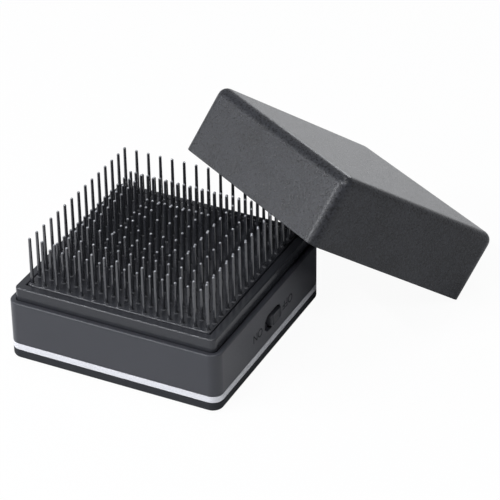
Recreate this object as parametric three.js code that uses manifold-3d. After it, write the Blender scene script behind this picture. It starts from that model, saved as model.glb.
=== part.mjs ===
// A square, battery-powered ionic styling brush with its cap taken off and leaned on the pins.
// Millimetres, +Z up. The origin is the centre of the base's underside.
// The brush's wide front face is -Y, and the face that carries the slide switch is +X.

import * as THREE from "three";
import { mergeVertices } from "three/addons/utils/BufferGeometryUtils.js";
import Module from "manifold-3d";

const wasm = await Module();
wasm.setup();

// Clearances
const FIT = 0.3; // between pieces that sit beside or on each other
const SEAM = 0.15; // between the flush outer pieces of the stack
const NECK_GAP = 0.2; // between the neck frame and the housing's bore
const REST_GAP = 0.1; // between the leaning cap and the pin tips
const DROP = 0.1; // how far a face that must not stand proud lies below its neighbour
const PAST = 1; // how far a cutting solid reaches past what it cuts
const JOIN = 0.5; // how far a solid reaches into the one it is fused with

// Outer stack of the base
const BASE_SIDE = 70;
const BASE_CORNER = 3.5;
const COVER_TOP = 3.1;
const COVER_EDGE = 1.2;
const BAND_TOP = 5.3;
const HOUSING_TOP = 19.8;
const HOUSING_EDGE = 0.5;
const NECK_INSET = 1.85;
const NECK_TOP = 24.1;
const NECK_EDGE = 0.5;

// Bottom cover
const FLOOR = 2;
const TONGUE_WALL = 1.2;
const TONGUE_TOP = 7.4;

// Housing and neck frame inside
const BOSS_INSET = 4.6; // from the outer faces to the screw axes
const BOSS_RADIUS = 2.3;
const GUSSET = 1;
const SHOULDER_LOW = 15.2;
const SHOULDER_HIGH = 17;
const SHOULDER_WIDTH = 1.8;
const NECK_RIM = 2.6; // width of the neck frame's top rim
const PAD_LEDGE = 1.7;
const PAD_SEAT = 22;
const POCKET_CORNER = 1;
const CARRIER_LIP = 0.9;
const CARRIER_LIP_HEIGHT = 0.8;
const NECK_SKIRT_WALL = 1.7;

// Pad and pins
const PAD_TOP = 24.2;
const PAD_EDGE = 0.4;
const PIN_ROWS = 15;
const PIN_FROM_PAD_SIDE = 1.2; // from the outermost pins' middles to the pad's side
const PIN_TIP = 40; // height of the long pins' tips
const PIN_DROPS = [0, 5.3, 2.4]; // how much lower each ring's tips are, from the outermost inwards
const PIN_FOOT = 0.85;
const PIN_FOOT_HEIGHT = 0.5;
const PIN_BASE_RADIUS = 0.6;
const PIN_TIP_RADIUS = 0.46;
const PIN_ROUND = 0.3;
const PIN_SIDES = 4;

// Pad carrier and the ion outlet at its centre
const CARRIER_THICK = 1.4;
const CARRIER_RIB = 1.2;
const CARRIER_RIB_DEPTH = 1.4;
const CARRIER_RIBS = 5;
const OUTLET_RADIUS = 1.9;
const OUTLET_FLANGE = 3.6;
const OUTLET_FLANGE_THICK = 1.2;
const OUTLET_TAIL = 1;
const NEEDLE_RADIUS = 0.5;
const NEEDLE_POINT = 0.05;
const NEEDLE_CONE = 1.6;
const NEEDLE_RECESS = 0.7;
const NEEDLE_TAIL = 0.8;

// Cells, size AAA, and their bay
const CELL_RADIUS = 5.25;
const CELL_LENGTH = 44.5;
const CELL_NUB_RADIUS = 1.9;
const CELL_NUB = 0.9;
const CELL_CRIMP = 0.5;
const BAY_Y = 14;
const BAY_WALL = 1.3;
const BAY_FLANGE = 2.5;
const BAY_FLANGE_THICK = 1;
const RIB_BETWEEN_CELLS = 0.4;
const PLATE = 0.4;
const PLATE_INSET = 1.6; // how much smaller than the cell a contact plate is, all round
const BRIDGE_WIDTH = 4;
const SPRING_LENGTH = 3.1;
const SPRING_WIRE = 0.3;
const SPRING_TURNS = 2.5;
const SPRING_SMALL = 1.6;
const SPRING_LARGE = 3.2;
const SPRING_STEPS = 8; // in a turn
const SPRING_SIDES = 5;
const TAB_WIDTH = 3;
const TAB_REACH = 3.2;
const TAB_HEIGHT = 10.6;

// Battery door
const DOOR_LIP = 0.8;
const DOOR_LIP_LOW = 1;
const DOOR_INSET = 0.25; // the door lies this much above the base's foot plane
const GRIP_GROOVES = 5;
const GRIP_PITCH = 2;
const GRIP_DEPTH = 0.5;
const GRIP_WIDTH = 0.9;
const GRIP_LENGTH = 13;
const GRIP_FROM_EDGE = 6;

// Board, switch and ion module
const BOARD_LOW = 7.7;
const BOARD_THICK = 1.2;
const BOARD_LENGTH = 53;
const BOARD_POST_RADIUS = 2.2;
const BOARD_SCREW_FROM_END = 3.5;
const BOARD_SCREW_FROM_EDGE = 3.4;
const BOARD_POST_FLOOR = 0.5; // material left under the hole in a post
const CAPACITOR_RADIUS = 2.5;
const CAPACITOR_HEIGHT = 7.5;
const CAPACITOR_Y = -12;
const CAPACITOR_EDGE = 0.3;
const CAPACITOR_GROOVE = 0.3;
const CAPACITOR_GROOVE_HEIGHT = 1.4;
const MODULE_SIZE = [26, 17, 10];
const MODULE_CENTRE = [-13, -19];
const MODULE_WALL = 1.2;
const MODULE_POTTING = 0.8;
const MODULE_FENCE = 1.2;
const MODULE_FENCE_HEIGHT = 3;

// Slide switch in the +X face
const SWITCH_Y = 1.4;
const SWITCH_Z = 11.5;
const SWITCH_TRAVEL = 2;
const RECESS_HEIGHT = 5.4;
const RECESS_DEPTH = 1.3;
const RECESS_BACKING = 1.5; // wall left behind the recess
const RECESS_MARGIN = 1.1; // how far that backing reaches past the recess
const KNOB_LENGTH = 7.6;
const KNOB_MARGIN = 0.6; // clear of the recess, all round
const KNOB_PROUD = 0.8;
const KNOB_GROOVES = 5;
const KNOB_GROOVE_PITCH = 1.2;
const KNOB_GROOVE = 0.5;
const KNOB_GROOVE_DEPTH = 0.4;
const STEM_LENGTH = 3.6;
const STEM_HEIGHT = 2.8;
const STEM_WALL = 0.7;
const KNOB_FLANGE = 0.4;
const KNOB_FLANGE_REACH = 0.5;
const SLIDER_ENTRY = 1.3;
const SLIDER_ROOT = 2.2;
const SWITCH_BODY_DEPTH = 4.4;
const SWITCH_BODY_LENGTH = 9.5;
const SWITCH_BODY_WALL = 0.8;

// Screws
const SCREW_SHANK = 1;
const SCREW_HEAD = 1.9;
const SCREW_HEAD_HEIGHT = 1.2;
const SCREW_REACH = 6.5; // how far a case screw goes up into the housing's boss
const SCREW_SEAT = 2.1;
const SCREW_POINT = 0.3;
const SCREW_EDGE = 0.4;
const BOARD_SCREW_LENGTH = 5;
const DRIVE_SLOT = 0.5;
const DRIVE_REACH = 1.15;
const DRIVE_DEPTH = 0.6;

// Leads
const LEAD_RADIUS = 0.5;
const LEAD_STEPS = 14;
const LEAD_SIDES = 6;
const SUPPLY_SPACING = 4;
const SUPPLY_BEND = 2;
const SUPPLY_RISE = 5; // height of their loop above the board
const SUPPLY_ENTRY = 7.5; // height at which they enter the ion module
const EMITTER_START = [-8, -15];
const EMITTER_SAG = 0.6;

// Cap
const CAP_WALL = 1.2;
const CAP_TOP_WALL = 1.4;
const CAP_HEIGHT = 22.8;
const CAP_NECK_GAP = 0.15;
const CAP_EDGE = 3;
const CAP_CORNER = 3;
const CAP_LEAD_IN = 0.5;
const CAP_TURN = -30.5; // degrees about Z, as it leans in the photograph
const CAP_STAND = [46.2, 66.8]; // middle of the rim edge that stands on the floor

// Facets
const LEAST_CORNER = 0.3;
const CORNER_STEPS = 5;
const EDGE_STEPS = 3;
const ROUND_SIDES = 20;
const SMALL_SIDES = 12;
const OVAL_STEPS = 8;

// Sizes that follow from the ones above
const half = BASE_SIDE / 2;
const neckHalf = half - NECK_INSET;
const neckCorner = BASE_CORNER - NECK_INSET;
const boreHalf = neckHalf + NECK_GAP;
const padPocketHalf = neckHalf - NECK_RIM;
const padHalf = padPocketHalf - FIT;
const pinPitch = (2 * (padHalf - PIN_FROM_PAD_SIDE)) / (PIN_ROWS - 1);
const carrierBoreHalf = padPocketHalf - PAD_LEDGE;
const carrierHalf = carrierBoreHalf - FIT;
const carrierTop = PAD_SEAT - DROP;
const carrierLow = carrierTop - CARRIER_THICK;
const needleLow = carrierLow - FIT - OUTLET_FLANGE_THICK - OUTLET_TAIL - NEEDLE_TAIL;
const neckLow = SHOULDER_HIGH + FIT;
const tongueHalf = boreHalf - FIT;
const bossAt = half - BOSS_INSET;
const screwTop = TONGUE_TOP + FIT + SCREW_REACH;
const bossTop = SHOULDER_LOW + FIT;

const cellPitch = 2 * (CELL_RADIUS + FIT) + RIB_BETWEEN_CELLS;
const cellZ = FLOOR + 2 * FIT + CELL_RADIUS;
const cellMiddles = [BAY_Y - cellPitch / 2, BAY_Y + cellPitch / 2];
const bayInnerHalf = cellPitch / 2 + CELL_RADIUS + FIT;
const bayOuterHalf = bayInnerHalf + BAY_WALL;
const bayLow = FLOOR + FIT;
const bayTop = cellZ + CELL_RADIUS + FIT + BAY_WALL;
const bayLeft = -(tongueHalf - TONGUE_WALL) + FIT;
const bayInnerLeft = bayLeft + BAY_WALL;
const leftPlateX = bayInnerLeft + FIT;
const cellLeft = leftPlateX + PLATE + FIT;
const cellRight = cellLeft + CELL_LENGTH;
const springFromCell = FIT;
const rightPlateX = cellRight + springFromCell + SPRING_LENGTH + FIT;
const bayInnerRight = rightPlateX + PLATE + FIT;
const bayRight = bayInnerRight + BAY_WALL;
const doorRight = bayInnerRight - FIT;
const doorTop = FLOOR - DROP;

const recessFloor = half - RECESS_DEPTH;
const backingX = recessFloor - RECESS_BACKING;
const knobHeight = RECESS_HEIGHT - 2 * KNOB_MARGIN;
const recessLength = KNOB_LENGTH + SWITCH_TRAVEL + 2 * KNOB_MARGIN;
const knobY = SWITCH_Y + SWITCH_TRAVEL / 2;
const flangeX = backingX - FIT - KNOB_FLANGE;
const switchFront = flangeX - FIT;
const sliderHeight = STEM_HEIGHT - 2 * STEM_WALL;
const boardTop = BOARD_LOW + BOARD_THICK;
const boardLeft = bayRight + 2 * FIT;
const boardRight = backingX - FIT;
const boardScrewX = boardLeft + BOARD_SCREW_FROM_EDGE;
const boardScrewY = BOARD_LENGTH / 2 - BOARD_SCREW_FROM_END;

// Shapes

// Closed geometry as a solid, with shared vertices merged and slivers at a lathe's axis dropped.
function solid(geometry) {
  const plain = geometry.index ? geometry.toNonIndexed() : geometry.clone();
  plain.deleteAttribute("normal");
  plain.deleteAttribute("uv");
  plain.clearGroups();
  const merged = mergeVertices(plain, 1e-4);
  const index = merged.index.array;
  const kept = [];
  for (let i = 0; i < index.length; i += 3) {
    const [a, b, c] = [index[i], index[i + 1], index[i + 2]];
    if (a !== b && b !== c && c !== a) kept.push(a, b, c);
  }
  return new wasm.Manifold(
    new wasm.Mesh({
      numProp: 3,
      vertProperties: merged.attributes.position.array,
      triVerts: new Uint32Array(kept),
    }),
  );
}

// A solid as flat-shaded geometry.
function geometryOf(shape) {
  const mesh = shape.getMesh();
  const indexed = new THREE.BufferGeometry();
  indexed.setAttribute("position", new THREE.BufferAttribute(mesh.vertProperties, 3));
  indexed.setIndex(new THREE.BufferAttribute(mesh.triVerts, 1));
  const geometry = indexed.toNonIndexed();
  geometry.computeVertexNormals();
  return geometry;
}

function join(...shapes) {
  return shapes.reduce((sum, shape) => sum.add(shape));
}

function cut(shape, ...tools) {
  return tools.reduce((left, tool) => left.subtract(tool), shape);
}

function block([x0, x1], [y0, y1], [z0, z1]) {
  const geometry = new THREE.BoxGeometry(x1 - x0, y1 - y0, z1 - z0);
  geometry.translate((x0 + x1) / 2, (y0 + y1) / 2, (z0 + z1) / 2);
  return solid(geometry);
}

// Points of a rounded rectangle, anticlockwise, the same number for any size.
function outline(width, depth, radius) {
  const points = [];
  const corners = [
    [1, 1],
    [-1, 1],
    [-1, -1],
    [1, -1],
  ];
  corners.forEach(([sx, sy], quarter) => {
    for (let step = 0; step <= CORNER_STEPS; step++) {
      const angle = ((quarter + step / CORNER_STEPS) * Math.PI) / 2;
      points.push([
        sx * (width / 2 - radius) + radius * Math.cos(angle),
        sy * (depth / 2 - radius) + radius * Math.sin(angle),
      ]);
    }
  });
  return points;
}

// A closed surface through rings of equally many points [x, y, z], each ring convex and anticlockwise.
function loft(rings) {
  const count = rings[0].length;
  const index = [];
  rings.slice(1).forEach((_, level) => {
    for (let i = 0; i < count; i++) {
      const a = level * count + i;
      const b = level * count + ((i + 1) % count);
      index.push(a, b, b + count, a, b + count, a + count);
    }
  });
  const last = (rings.length - 1) * count;
  for (let i = 1; i < count - 1; i++) {
    index.push(0, i + 1, i);
    index.push(last, last + i, last + i + 1);
  }
  const geometry = new THREE.BufferGeometry();
  geometry.setAttribute("position", new THREE.Float32BufferAttribute(rings.flat(2), 3));
  geometry.setIndex(index);
  return geometry;
}

// A square prism with round corners, whose side steps in by an inset at each level [z, inset].
function stack(halfSide, radius, levels) {
  const rings = levels.map(([z, inset]) => {
    const side = 2 * (halfSide - inset);
    const corner = Math.max(radius - inset, LEAST_CORNER);
    return outline(side, side, corner).map(([x, y]) => [x, y, z]);
  });
  return solid(loft(rings));
}

// Levels of a quarter-round edge that ends at height z, going up (sign 1) or down to it (sign -1).
function roundEdge(z, radius, sign) {
  const levels = [];
  for (let step = 0; step <= EDGE_STEPS; step++) {
    const angle = ((step / EDGE_STEPS) * Math.PI) / 2;
    levels.push([z - sign * radius * (1 - Math.sin(angle)), radius * (1 - Math.cos(angle))]);
  }
  return sign > 0 ? levels : levels.reverse();
}

// An oval with round ends in the YZ plane, extruded along X.
function ovalPrism(length, height, [x0, x1], y, z) {
  const r = height / 2;
  const shape = new THREE.Shape();
  shape.absarc(length / 2 - r, 0, r, -Math.PI / 2, Math.PI / 2, false);
  shape.absarc(-(length / 2 - r), 0, r, Math.PI / 2, (3 * Math.PI) / 2, false);
  const geometry = new THREE.ExtrudeGeometry(shape, {
    depth: x1 - x0,
    bevelEnabled: false,
    curveSegments: OVAL_STEPS,
  });
  const turn = new THREE.Matrix4().makeBasis(
    new THREE.Vector3(0, 1, 0),
    new THREE.Vector3(0, 0, 1),
    new THREE.Vector3(1, 0, 0),
  );
  geometry.applyMatrix4(turn);
  geometry.translate(x0, y, z);
  return solid(geometry);
}

// A profile of [radius, height] points, from the axis round to the axis, turned about Z.
function turned(profile, sides = ROUND_SIDES) {
  const points = profile.map(([r, z]) => new THREE.Vector2(r, z));
  const geometry = new THREE.LatheGeometry(points, sides);
  geometry.rotateX(Math.PI / 2);
  return solid(geometry);
}

function rod(radius, [z0, z1], x, y, sides = SMALL_SIDES) {
  const profile = [
    [0, z0],
    [radius, z0],
    [radius, z1],
    [0, z1],
  ];
  return turned(profile, sides).translate([x, y, 0]);
}

// A tube of round section along a curve, closed at both ends.
function tube(curve, radius, steps, sides) {
  const section = new THREE.Shape();
  for (let i = 0; i < sides; i++) {
    const angle = (i / sides) * 2 * Math.PI;
    section[i ? "lineTo" : "moveTo"](radius * Math.cos(angle), radius * Math.sin(angle));
  }
  section.closePath();
  const geometry = new THREE.ExtrudeGeometry(section, { steps, extrudePath: curve });
  return solid(geometry);
}

const corners = [
  [-1, -1],
  [1, -1],
  [1, 1],
  [-1, 1],
];

// Base shells

// The door's form, grown all round by a clearance: a narrow slab with a wider one on top that gives
// its rails, from the -X side to the door's inner end.
function doorForm(grow, railLow, top) {
  const narrow = bayInnerHalf + grow;
  const wide = narrow + DOOR_LIP;
  const left = -BASE_SIDE;
  const right = doorRight + grow;
  return join(
    block([left, right], [BAY_Y - narrow, BAY_Y + narrow], [-PAST, top]),
    block([left, right + DOOR_LIP], [BAY_Y - wide, BAY_Y + wide], [railLow, top]),
  );
}

function bottomCoverOutline() {
  return stack(half, BASE_CORNER, [...roundEdge(0, COVER_EDGE, -1), [COVER_TOP, 0]]);
}

function bottomCover() {
  const inside = stack(tongueHalf - TONGUE_WALL, neckCorner, [
    [FLOOR, 0],
    [TONGUE_TOP + PAST, 0],
  ]);
  const tongue = stack(tongueHalf, neckCorner, [
    [FLOOR, 0],
    [TONGUE_TOP, 0],
  ]);
  let cover = cut(join(bottomCoverOutline(), tongue), inside);
  const postHeights = [FLOOR / 2, TONGUE_TOP];
  for (const [sx, sy] of corners) {
    cover = cover.add(rod(BOSS_RADIUS, postHeights, sx * bossAt, sy * bossAt, ROUND_SIDES));
  }
  for (const sy of [-1, 1]) {
    const post = rod(
      BOARD_POST_RADIUS,
      [FLOOR / 2, BOARD_LOW - FIT],
      boardScrewX,
      sy * boardScrewY,
    );
    const hole = rod(
      SCREW_SHANK + FIT,
      [FLOOR + BOARD_POST_FLOOR, BOARD_LOW],
      boardScrewX,
      sy * boardScrewY,
    );
    cover = cover.add(post).subtract(hole);
  }
  cover = cover.add(moduleFence());
  for (const [sx, sy] of corners) {
    const shank = rod(SCREW_SHANK + FIT, [-PAST, TONGUE_TOP + PAST], sx * bossAt, sy * bossAt);
    const seat = rod(SCREW_HEAD + FIT, [-PAST, SCREW_SEAT], sx * bossAt, sy * bossAt, ROUND_SIDES);
    cover = cut(cover, shank, seat);
  }
  const notch = block(
    [-BASE_SIDE, -(tongueHalf - TONGUE_WALL) + FIT],
    [BAY_Y - bayInnerHalf - DOOR_LIP - FIT, BAY_Y + bayInnerHalf + DOOR_LIP + FIT],
    [DOOR_LIP_LOW, doorTop + FIT],
  );
  return cut(cover, doorForm(FIT, DOOR_LIP_LOW, FLOOR + FIT), notch);
}

// A low wall on the cover's floor that holds the ion module on three sides.
function moduleFence() {
  const [length, width] = MODULE_SIZE;
  const [x, y] = MODULE_CENTRE;
  const innerX = length / 2 + FIT;
  const innerY = width / 2 + FIT;
  const height = [FLOOR / 2, FLOOR + MODULE_FENCE_HEIGHT];
  const outer = block(
    [x - innerX - MODULE_FENCE, x + innerX + MODULE_FENCE],
    [y - innerY - MODULE_FENCE, y + innerY + MODULE_FENCE],
    height,
  );
  const room = block(
    [x - innerX, x + innerX],
    [y - innerY, y + innerY],
    [FLOOR, FLOOR + MODULE_FENCE_HEIGHT + PAST],
  );
  const wayOut = block(
    [x - innerX + MODULE_FENCE, x + innerX - MODULE_FENCE],
    [y - innerY - 2 * MODULE_FENCE, y],
    [FLOOR, FLOOR + MODULE_FENCE_HEIGHT + PAST],
  );
  return cut(outer, room, wayOut);
}

function trimBand() {
  const outer = stack(half, BASE_CORNER, [
    [COVER_TOP + SEAM, 0],
    [BAND_TOP, 0],
  ]);
  const bore = stack(boreHalf, neckCorner + NECK_GAP, [
    [COVER_TOP - PAST, 0],
    [BAND_TOP + PAST, 0],
  ]);
  return cut(outer, bore);
}

function housingShell() {
  const low = BAND_TOP + SEAM;
  const outer = stack(half, BASE_CORNER, [[low, 0], ...roundEdge(HOUSING_TOP, HOUSING_EDGE, 1)]);
  const bore = stack(boreHalf, neckCorner + NECK_GAP, [
    [low - PAST, 0],
    [HOUSING_TOP + PAST, 0],
  ]);
  const shoulderHole = stack(boreHalf - SHOULDER_WIDTH, neckCorner, [
    [SHOULDER_LOW - PAST, 0],
    [SHOULDER_HIGH + PAST, 0],
  ]);
  const shoulder = cut(
    stack(boreHalf + JOIN, BASE_CORNER, [
      [SHOULDER_LOW, 0],
      [SHOULDER_HIGH, 0],
    ]),
    shoulderHole,
  );
  let shell = join(cut(outer, bore), shoulder);
  const bossLow = TONGUE_TOP + FIT;
  for (const [sx, sy] of corners) {
    const x = sx * bossAt;
    const y = sy * bossAt;
    const reachX = [x, sx * (boreHalf + JOIN)].sort((a, b) => a - b);
    const reachY = [y, sy * (boreHalf + JOIN)].sort((a, b) => a - b);
    const boss = join(
      rod(BOSS_RADIUS, [bossLow, bossTop], x, y, ROUND_SIDES),
      block(reachX, [y - GUSSET / 2, y + GUSSET / 2], [bossLow, bossTop]),
      block([x - GUSSET / 2, x + GUSSET / 2], reachY, [bossLow, bossTop]),
    );
    const pilot = rod(SCREW_SHANK + FIT, [bossLow - PAST, screwTop + FIT], x, y);
    shell = shell.add(boss).subtract(pilot);
  }
  const backing = ovalPrism(
    recessLength + 2 * RECESS_MARGIN,
    RECESS_HEIGHT + 2 * RECESS_MARGIN,
    [backingX, boreHalf + JOIN],
    SWITCH_Y,
    SWITCH_Z,
  );
  const recessSpan = [recessFloor, half + PAST];
  const recess = ovalPrism(recessLength, RECESS_HEIGHT, recessSpan, SWITCH_Y, SWITCH_Z);
  const slot = block(
    [backingX - PAST, half],
    [
      SWITCH_Y - (STEM_LENGTH + SWITCH_TRAVEL) / 2 - FIT,
      SWITCH_Y + (STEM_LENGTH + SWITCH_TRAVEL) / 2 + FIT,
    ],
    [SWITCH_Z - STEM_HEIGHT / 2 - FIT, SWITCH_Z + STEM_HEIGHT / 2 + FIT],
  );
  return cut(join(shell, backing), recess, slot);
}

function neckFrame() {
  const outer = stack(neckHalf, neckCorner, [[neckLow, 0], ...roundEdge(NECK_TOP, NECK_EDGE, 1)]);
  const pocket = stack(padPocketHalf, POCKET_CORNER, [
    [PAD_SEAT, 0],
    [NECK_TOP + PAST, 0],
  ]);
  const lipTop = carrierLow - FIT;
  const lipLow = lipTop - CARRIER_LIP_HEIGHT;
  const carrierBore = stack(carrierBoreHalf, POCKET_CORNER, [
    [lipTop, 0],
    [PAD_SEAT + DROP, 0],
  ]);
  const lipHole = stack(carrierBoreHalf - CARRIER_LIP, POCKET_CORNER, [
    [lipLow - DROP, 0],
    [lipTop + DROP, 0],
  ]);
  const skirtHole = stack(neckHalf - NECK_SKIRT_WALL, POCKET_CORNER, [
    [neckLow - PAST, 0],
    [lipLow, 0],
  ]);
  return cut(outer, pocket, carrierBore, lipHole, skirtHole);
}

// Pad, carrier and ion outlet

// How far a grid place is from the edge of the grid, in rows.
function ringOf(column, row) {
  return Math.min(column, row, PIN_ROWS - 1 - column, PIN_ROWS - 1 - row);
}

// A pin stands on a small conical foot, tapers, and ends in a rounded tip.
function pinGeometry(x, y, tip) {
  const levels = [
    [PAD_TOP - PIN_FOOT_HEIGHT, PIN_FOOT],
    [PAD_TOP + PIN_FOOT_HEIGHT, PIN_BASE_RADIUS],
    [tip - PIN_ROUND, PIN_TIP_RADIUS],
    [tip, PIN_TIP_RADIUS - PIN_ROUND],
  ];
  const rings = levels.map(([z, radius]) => {
    const ring = [];
    for (let i = 0; i < PIN_SIDES; i++) {
      const angle = ((i + 0.5) / PIN_SIDES) * 2 * Math.PI;
      ring.push([x + radius * Math.cos(angle), y + radius * Math.sin(angle), z]);
    }
    return ring;
  });
  return loft(rings);
}

function pinPad() {
  const seat = PAD_SEAT + FIT;
  let pad = stack(padHalf, POCKET_CORNER, [
    [seat, 0],
    [PAD_TOP - PAD_EDGE, 0],
    [PAD_TOP, PAD_EDGE],
  ]);
  const middle = (PIN_ROWS - 1) / 2;
  for (let row = 0; row < PIN_ROWS; row++) {
    for (let column = 0; column < PIN_ROWS; column++) {
      if (row === middle && column === middle) continue;
      const tip = PIN_TIP - PIN_DROPS[ringOf(column, row) % PIN_DROPS.length];
      const x = (column - middle) * pinPitch;
      const y = (row - middle) * pinPitch;
      pad = pad.add(solid(pinGeometry(x, y, tip)));
    }
  }
  return cut(pad, rod(OUTLET_RADIUS + FIT, [seat - PAST, PAD_TOP + PAST], 0, 0, ROUND_SIDES));
}

function padCarrier() {
  let carrier = stack(carrierHalf, POCKET_CORNER, [
    [carrierLow, 0],
    [carrierTop, 0],
  ]);
  const ribHalf = carrierBoreHalf - CARRIER_LIP - FIT;
  const ribLow = carrierLow - CARRIER_RIB_DEPTH;
  const ribTop = carrierLow + JOIN;
  const spacing = (2 * ribHalf - CARRIER_RIB) / (CARRIER_RIBS - 1);
  for (let i = 0; i < CARRIER_RIBS; i++) {
    const at = -ribHalf + CARRIER_RIB / 2 + i * spacing;
    const span = [at - CARRIER_RIB / 2, at + CARRIER_RIB / 2];
    carrier = carrier.add(block(span, [-ribHalf, ribHalf], [ribLow, ribTop]));
    carrier = carrier.add(block([-ribHalf, ribHalf], span, [ribLow, ribTop]));
  }
  const flangeRoom = rod(OUTLET_FLANGE + FIT, [ribLow - PAST, carrierLow], 0, 0, ROUND_SIDES);
  const bore = rod(OUTLET_RADIUS + FIT, [ribLow - PAST, carrierTop + PAST], 0, 0, ROUND_SIDES);
  return cut(carrier, flangeRoom, bore);
}

function emitterHolder() {
  const flangeTop = carrierLow - FIT;
  const flangeLow = flangeTop - OUTLET_FLANGE_THICK;
  const bore = NEEDLE_RADIUS + FIT;
  const body = turned([
    [0, flangeLow - OUTLET_TAIL],
    [OUTLET_RADIUS, flangeLow - OUTLET_TAIL],
    [OUTLET_RADIUS, flangeLow],
    [OUTLET_FLANGE, flangeLow],
    [OUTLET_FLANGE, flangeTop],
    [OUTLET_RADIUS, flangeTop],
    [OUTLET_RADIUS, PAD_TOP - FIT],
    [0, PAD_TOP - FIT],
  ]);
  const funnel = turned(
    [
      [0, flangeLow - OUTLET_TAIL - PAST],
      [bore, flangeLow - OUTLET_TAIL - PAST],
      [bore, PAD_TOP - NEEDLE_CONE - NEEDLE_RECESS],
      [OUTLET_RADIUS - FIT, PAD_TOP],
      [0, PAD_TOP],
    ],
    SMALL_SIDES,
  );
  return cut(body, funnel);
}

function emitterNeedle() {
  const tip = PAD_TOP - NEEDLE_RECESS;
  return turned(
    [
      [0, needleLow],
      [NEEDLE_RADIUS, needleLow],
      [NEEDLE_RADIUS, tip - NEEDLE_CONE],
      [NEEDLE_POINT, tip],
      [0, tip],
    ],
    SMALL_SIDES,
  );
}

// Battery bay

function batteryTray() {
  const outerSpan = [bayLeft, bayRight];
  const innerSpan = [bayInnerLeft, bayInnerRight];
  const flangeHalf = bayOuterHalf + BAY_FLANGE / 2;
  let tray = block(outerSpan, [BAY_Y - bayOuterHalf, BAY_Y + bayOuterHalf], [bayLow, cellZ]);
  for (const y of cellMiddles) {
    const vault = lyingRod(CELL_RADIUS + FIT + BAY_WALL, outerSpan, y, cellZ);
    const above = block(outerSpan, [-half, half], [bayLow, bayTop + PAST]);
    tray = tray.add(vault.intersect(above));
  }
  const flange = block(
    outerSpan,
    [BAY_Y - flangeHalf, BAY_Y + flangeHalf],
    [bayLow, bayLow + BAY_FLANGE_THICK],
  );
  tray = tray.add(flange);
  const room = CELL_RADIUS + FIT;
  const tabRoom = TAB_WIDTH / 2 + FIT;
  for (const y of cellMiddles) {
    tray = cut(
      tray,
      lyingRod(room, innerSpan, y, cellZ),
      block(innerSpan, [y - room, y + room], [bayLow - PAST, cellZ]),
      block(
        [rightPlateX - FIT, bayRight + PAST],
        [y - tabRoom, y + tabRoom],
        [TAB_HEIGHT - FIT, TAB_HEIGHT + PLATE + FIT],
      ),
    );
  }
  const bridgeRoom = block(
    [bayInnerLeft, leftPlateX + PLATE + FIT],
    cellMiddles,
    [bayLow - PAST, cellZ + BRIDGE_WIDTH / 2 + FIT],
  );
  return cut(tray, bridgeRoom);
}

// A cylinder lying along X.
function lyingRod(radius, [x0, x1], y, z, sides = ROUND_SIDES) {
  const upright = turned(
    [
      [0, x0],
      [radius, x0],
      [radius, x1],
      [0, x1],
    ],
    sides,
  );
  return upright.rotate([0, 90, 0]).translate([0, y, z]);
}

// A cell with its nub towards +X or -X, between x = from and x = from + CELL_LENGTH.
function cell(sign, from, y) {
  const profile = [
    [0, 0],
    [CELL_RADIUS - CELL_CRIMP, 0],
    [CELL_RADIUS, CELL_CRIMP],
    [CELL_RADIUS, CELL_LENGTH - CELL_NUB - CELL_CRIMP],
    [CELL_RADIUS - CELL_CRIMP, CELL_LENGTH - CELL_NUB],
    [CELL_NUB_RADIUS, CELL_LENGTH - CELL_NUB],
    [CELL_NUB_RADIUS, CELL_LENGTH],
    [0, CELL_LENGTH],
  ];
  const along = turned(profile).rotate([0, sign > 0 ? 90 : -90, 0]);
  return along.translate([sign > 0 ? from : from + CELL_LENGTH, y, cellZ]);
}

// A conical contact spring along X, from its wide turn at the plate to its small turn at the cell.
class SpringPath extends THREE.Curve {
  constructor(plateX, cellX, y) {
    super();
    Object.assign(this, { plateX, cellX, y });
  }
  getPoint(t, target = new THREE.Vector3()) {
    const angle = t * SPRING_TURNS * 2 * Math.PI;
    const radius = SPRING_LARGE + (SPRING_SMALL - SPRING_LARGE) * t;
    const inset = Math.sign(this.cellX - this.plateX) * SPRING_WIRE;
    const start = this.plateX + inset;
    const end = this.cellX - inset;
    return target.set(
      start + (end - start) * t,
      this.y + radius * Math.cos(angle),
      cellZ + radius * Math.sin(angle),
    );
  }
}

function contactSpring(plateX, cellX, y) {
  const path = new SpringPath(plateX, cellX, y);
  return tube(path, SPRING_WIRE, Math.round(SPRING_TURNS * SPRING_STEPS), SPRING_SIDES);
}

// A flat contact against an end wall of the bay, square behind one cell.
function contactPlate(x, y) {
  const reach = CELL_RADIUS - PLATE_INSET;
  return block([x, x + PLATE], [y - reach, y + reach], [cellZ - reach, cellZ + reach]);
}

// The contact that joins the two cells in series, with a narrow strip through the rib between them.
function bridgeContact() {
  const strip = block(
    [leftPlateX, leftPlateX + PLATE],
    cellMiddles,
    [cellZ - BRIDGE_WIDTH / 2, cellZ + BRIDGE_WIDTH / 2],
  );
  return join(strip, ...cellMiddles.map((y) => contactPlate(leftPlateX, y)));
}

function terminal(y) {
  const tab = block(
    [rightPlateX, bayRight + TAB_REACH],
    [y - TAB_WIDTH / 2, y + TAB_WIDTH / 2],
    [TAB_HEIGHT, TAB_HEIGHT + PLATE],
  );
  return join(contactPlate(rightPlateX, y), tab);
}

function batteryDoor() {
  const trimmed = bottomCoverOutline().intersect(
    block([-BASE_SIDE, doorRight + DOOR_LIP], [0, half], [DOOR_INSET, FLOOR]),
  );
  let door = doorForm(0, DOOR_LIP_LOW + FIT, doorTop).intersect(trimmed);
  for (let i = 0; i < GRIP_GROOVES; i++) {
    const x = -half + GRIP_FROM_EDGE + i * GRIP_PITCH;
    const groove = block(
      [x - GRIP_WIDTH / 2, x + GRIP_WIDTH / 2],
      [BAY_Y - GRIP_LENGTH / 2, BAY_Y + GRIP_LENGTH / 2],
      [-PAST, DOOR_INSET + GRIP_DEPTH],
    );
    door = door.subtract(groove);
  }
  return door;
}

// Board, switch and module

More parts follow.
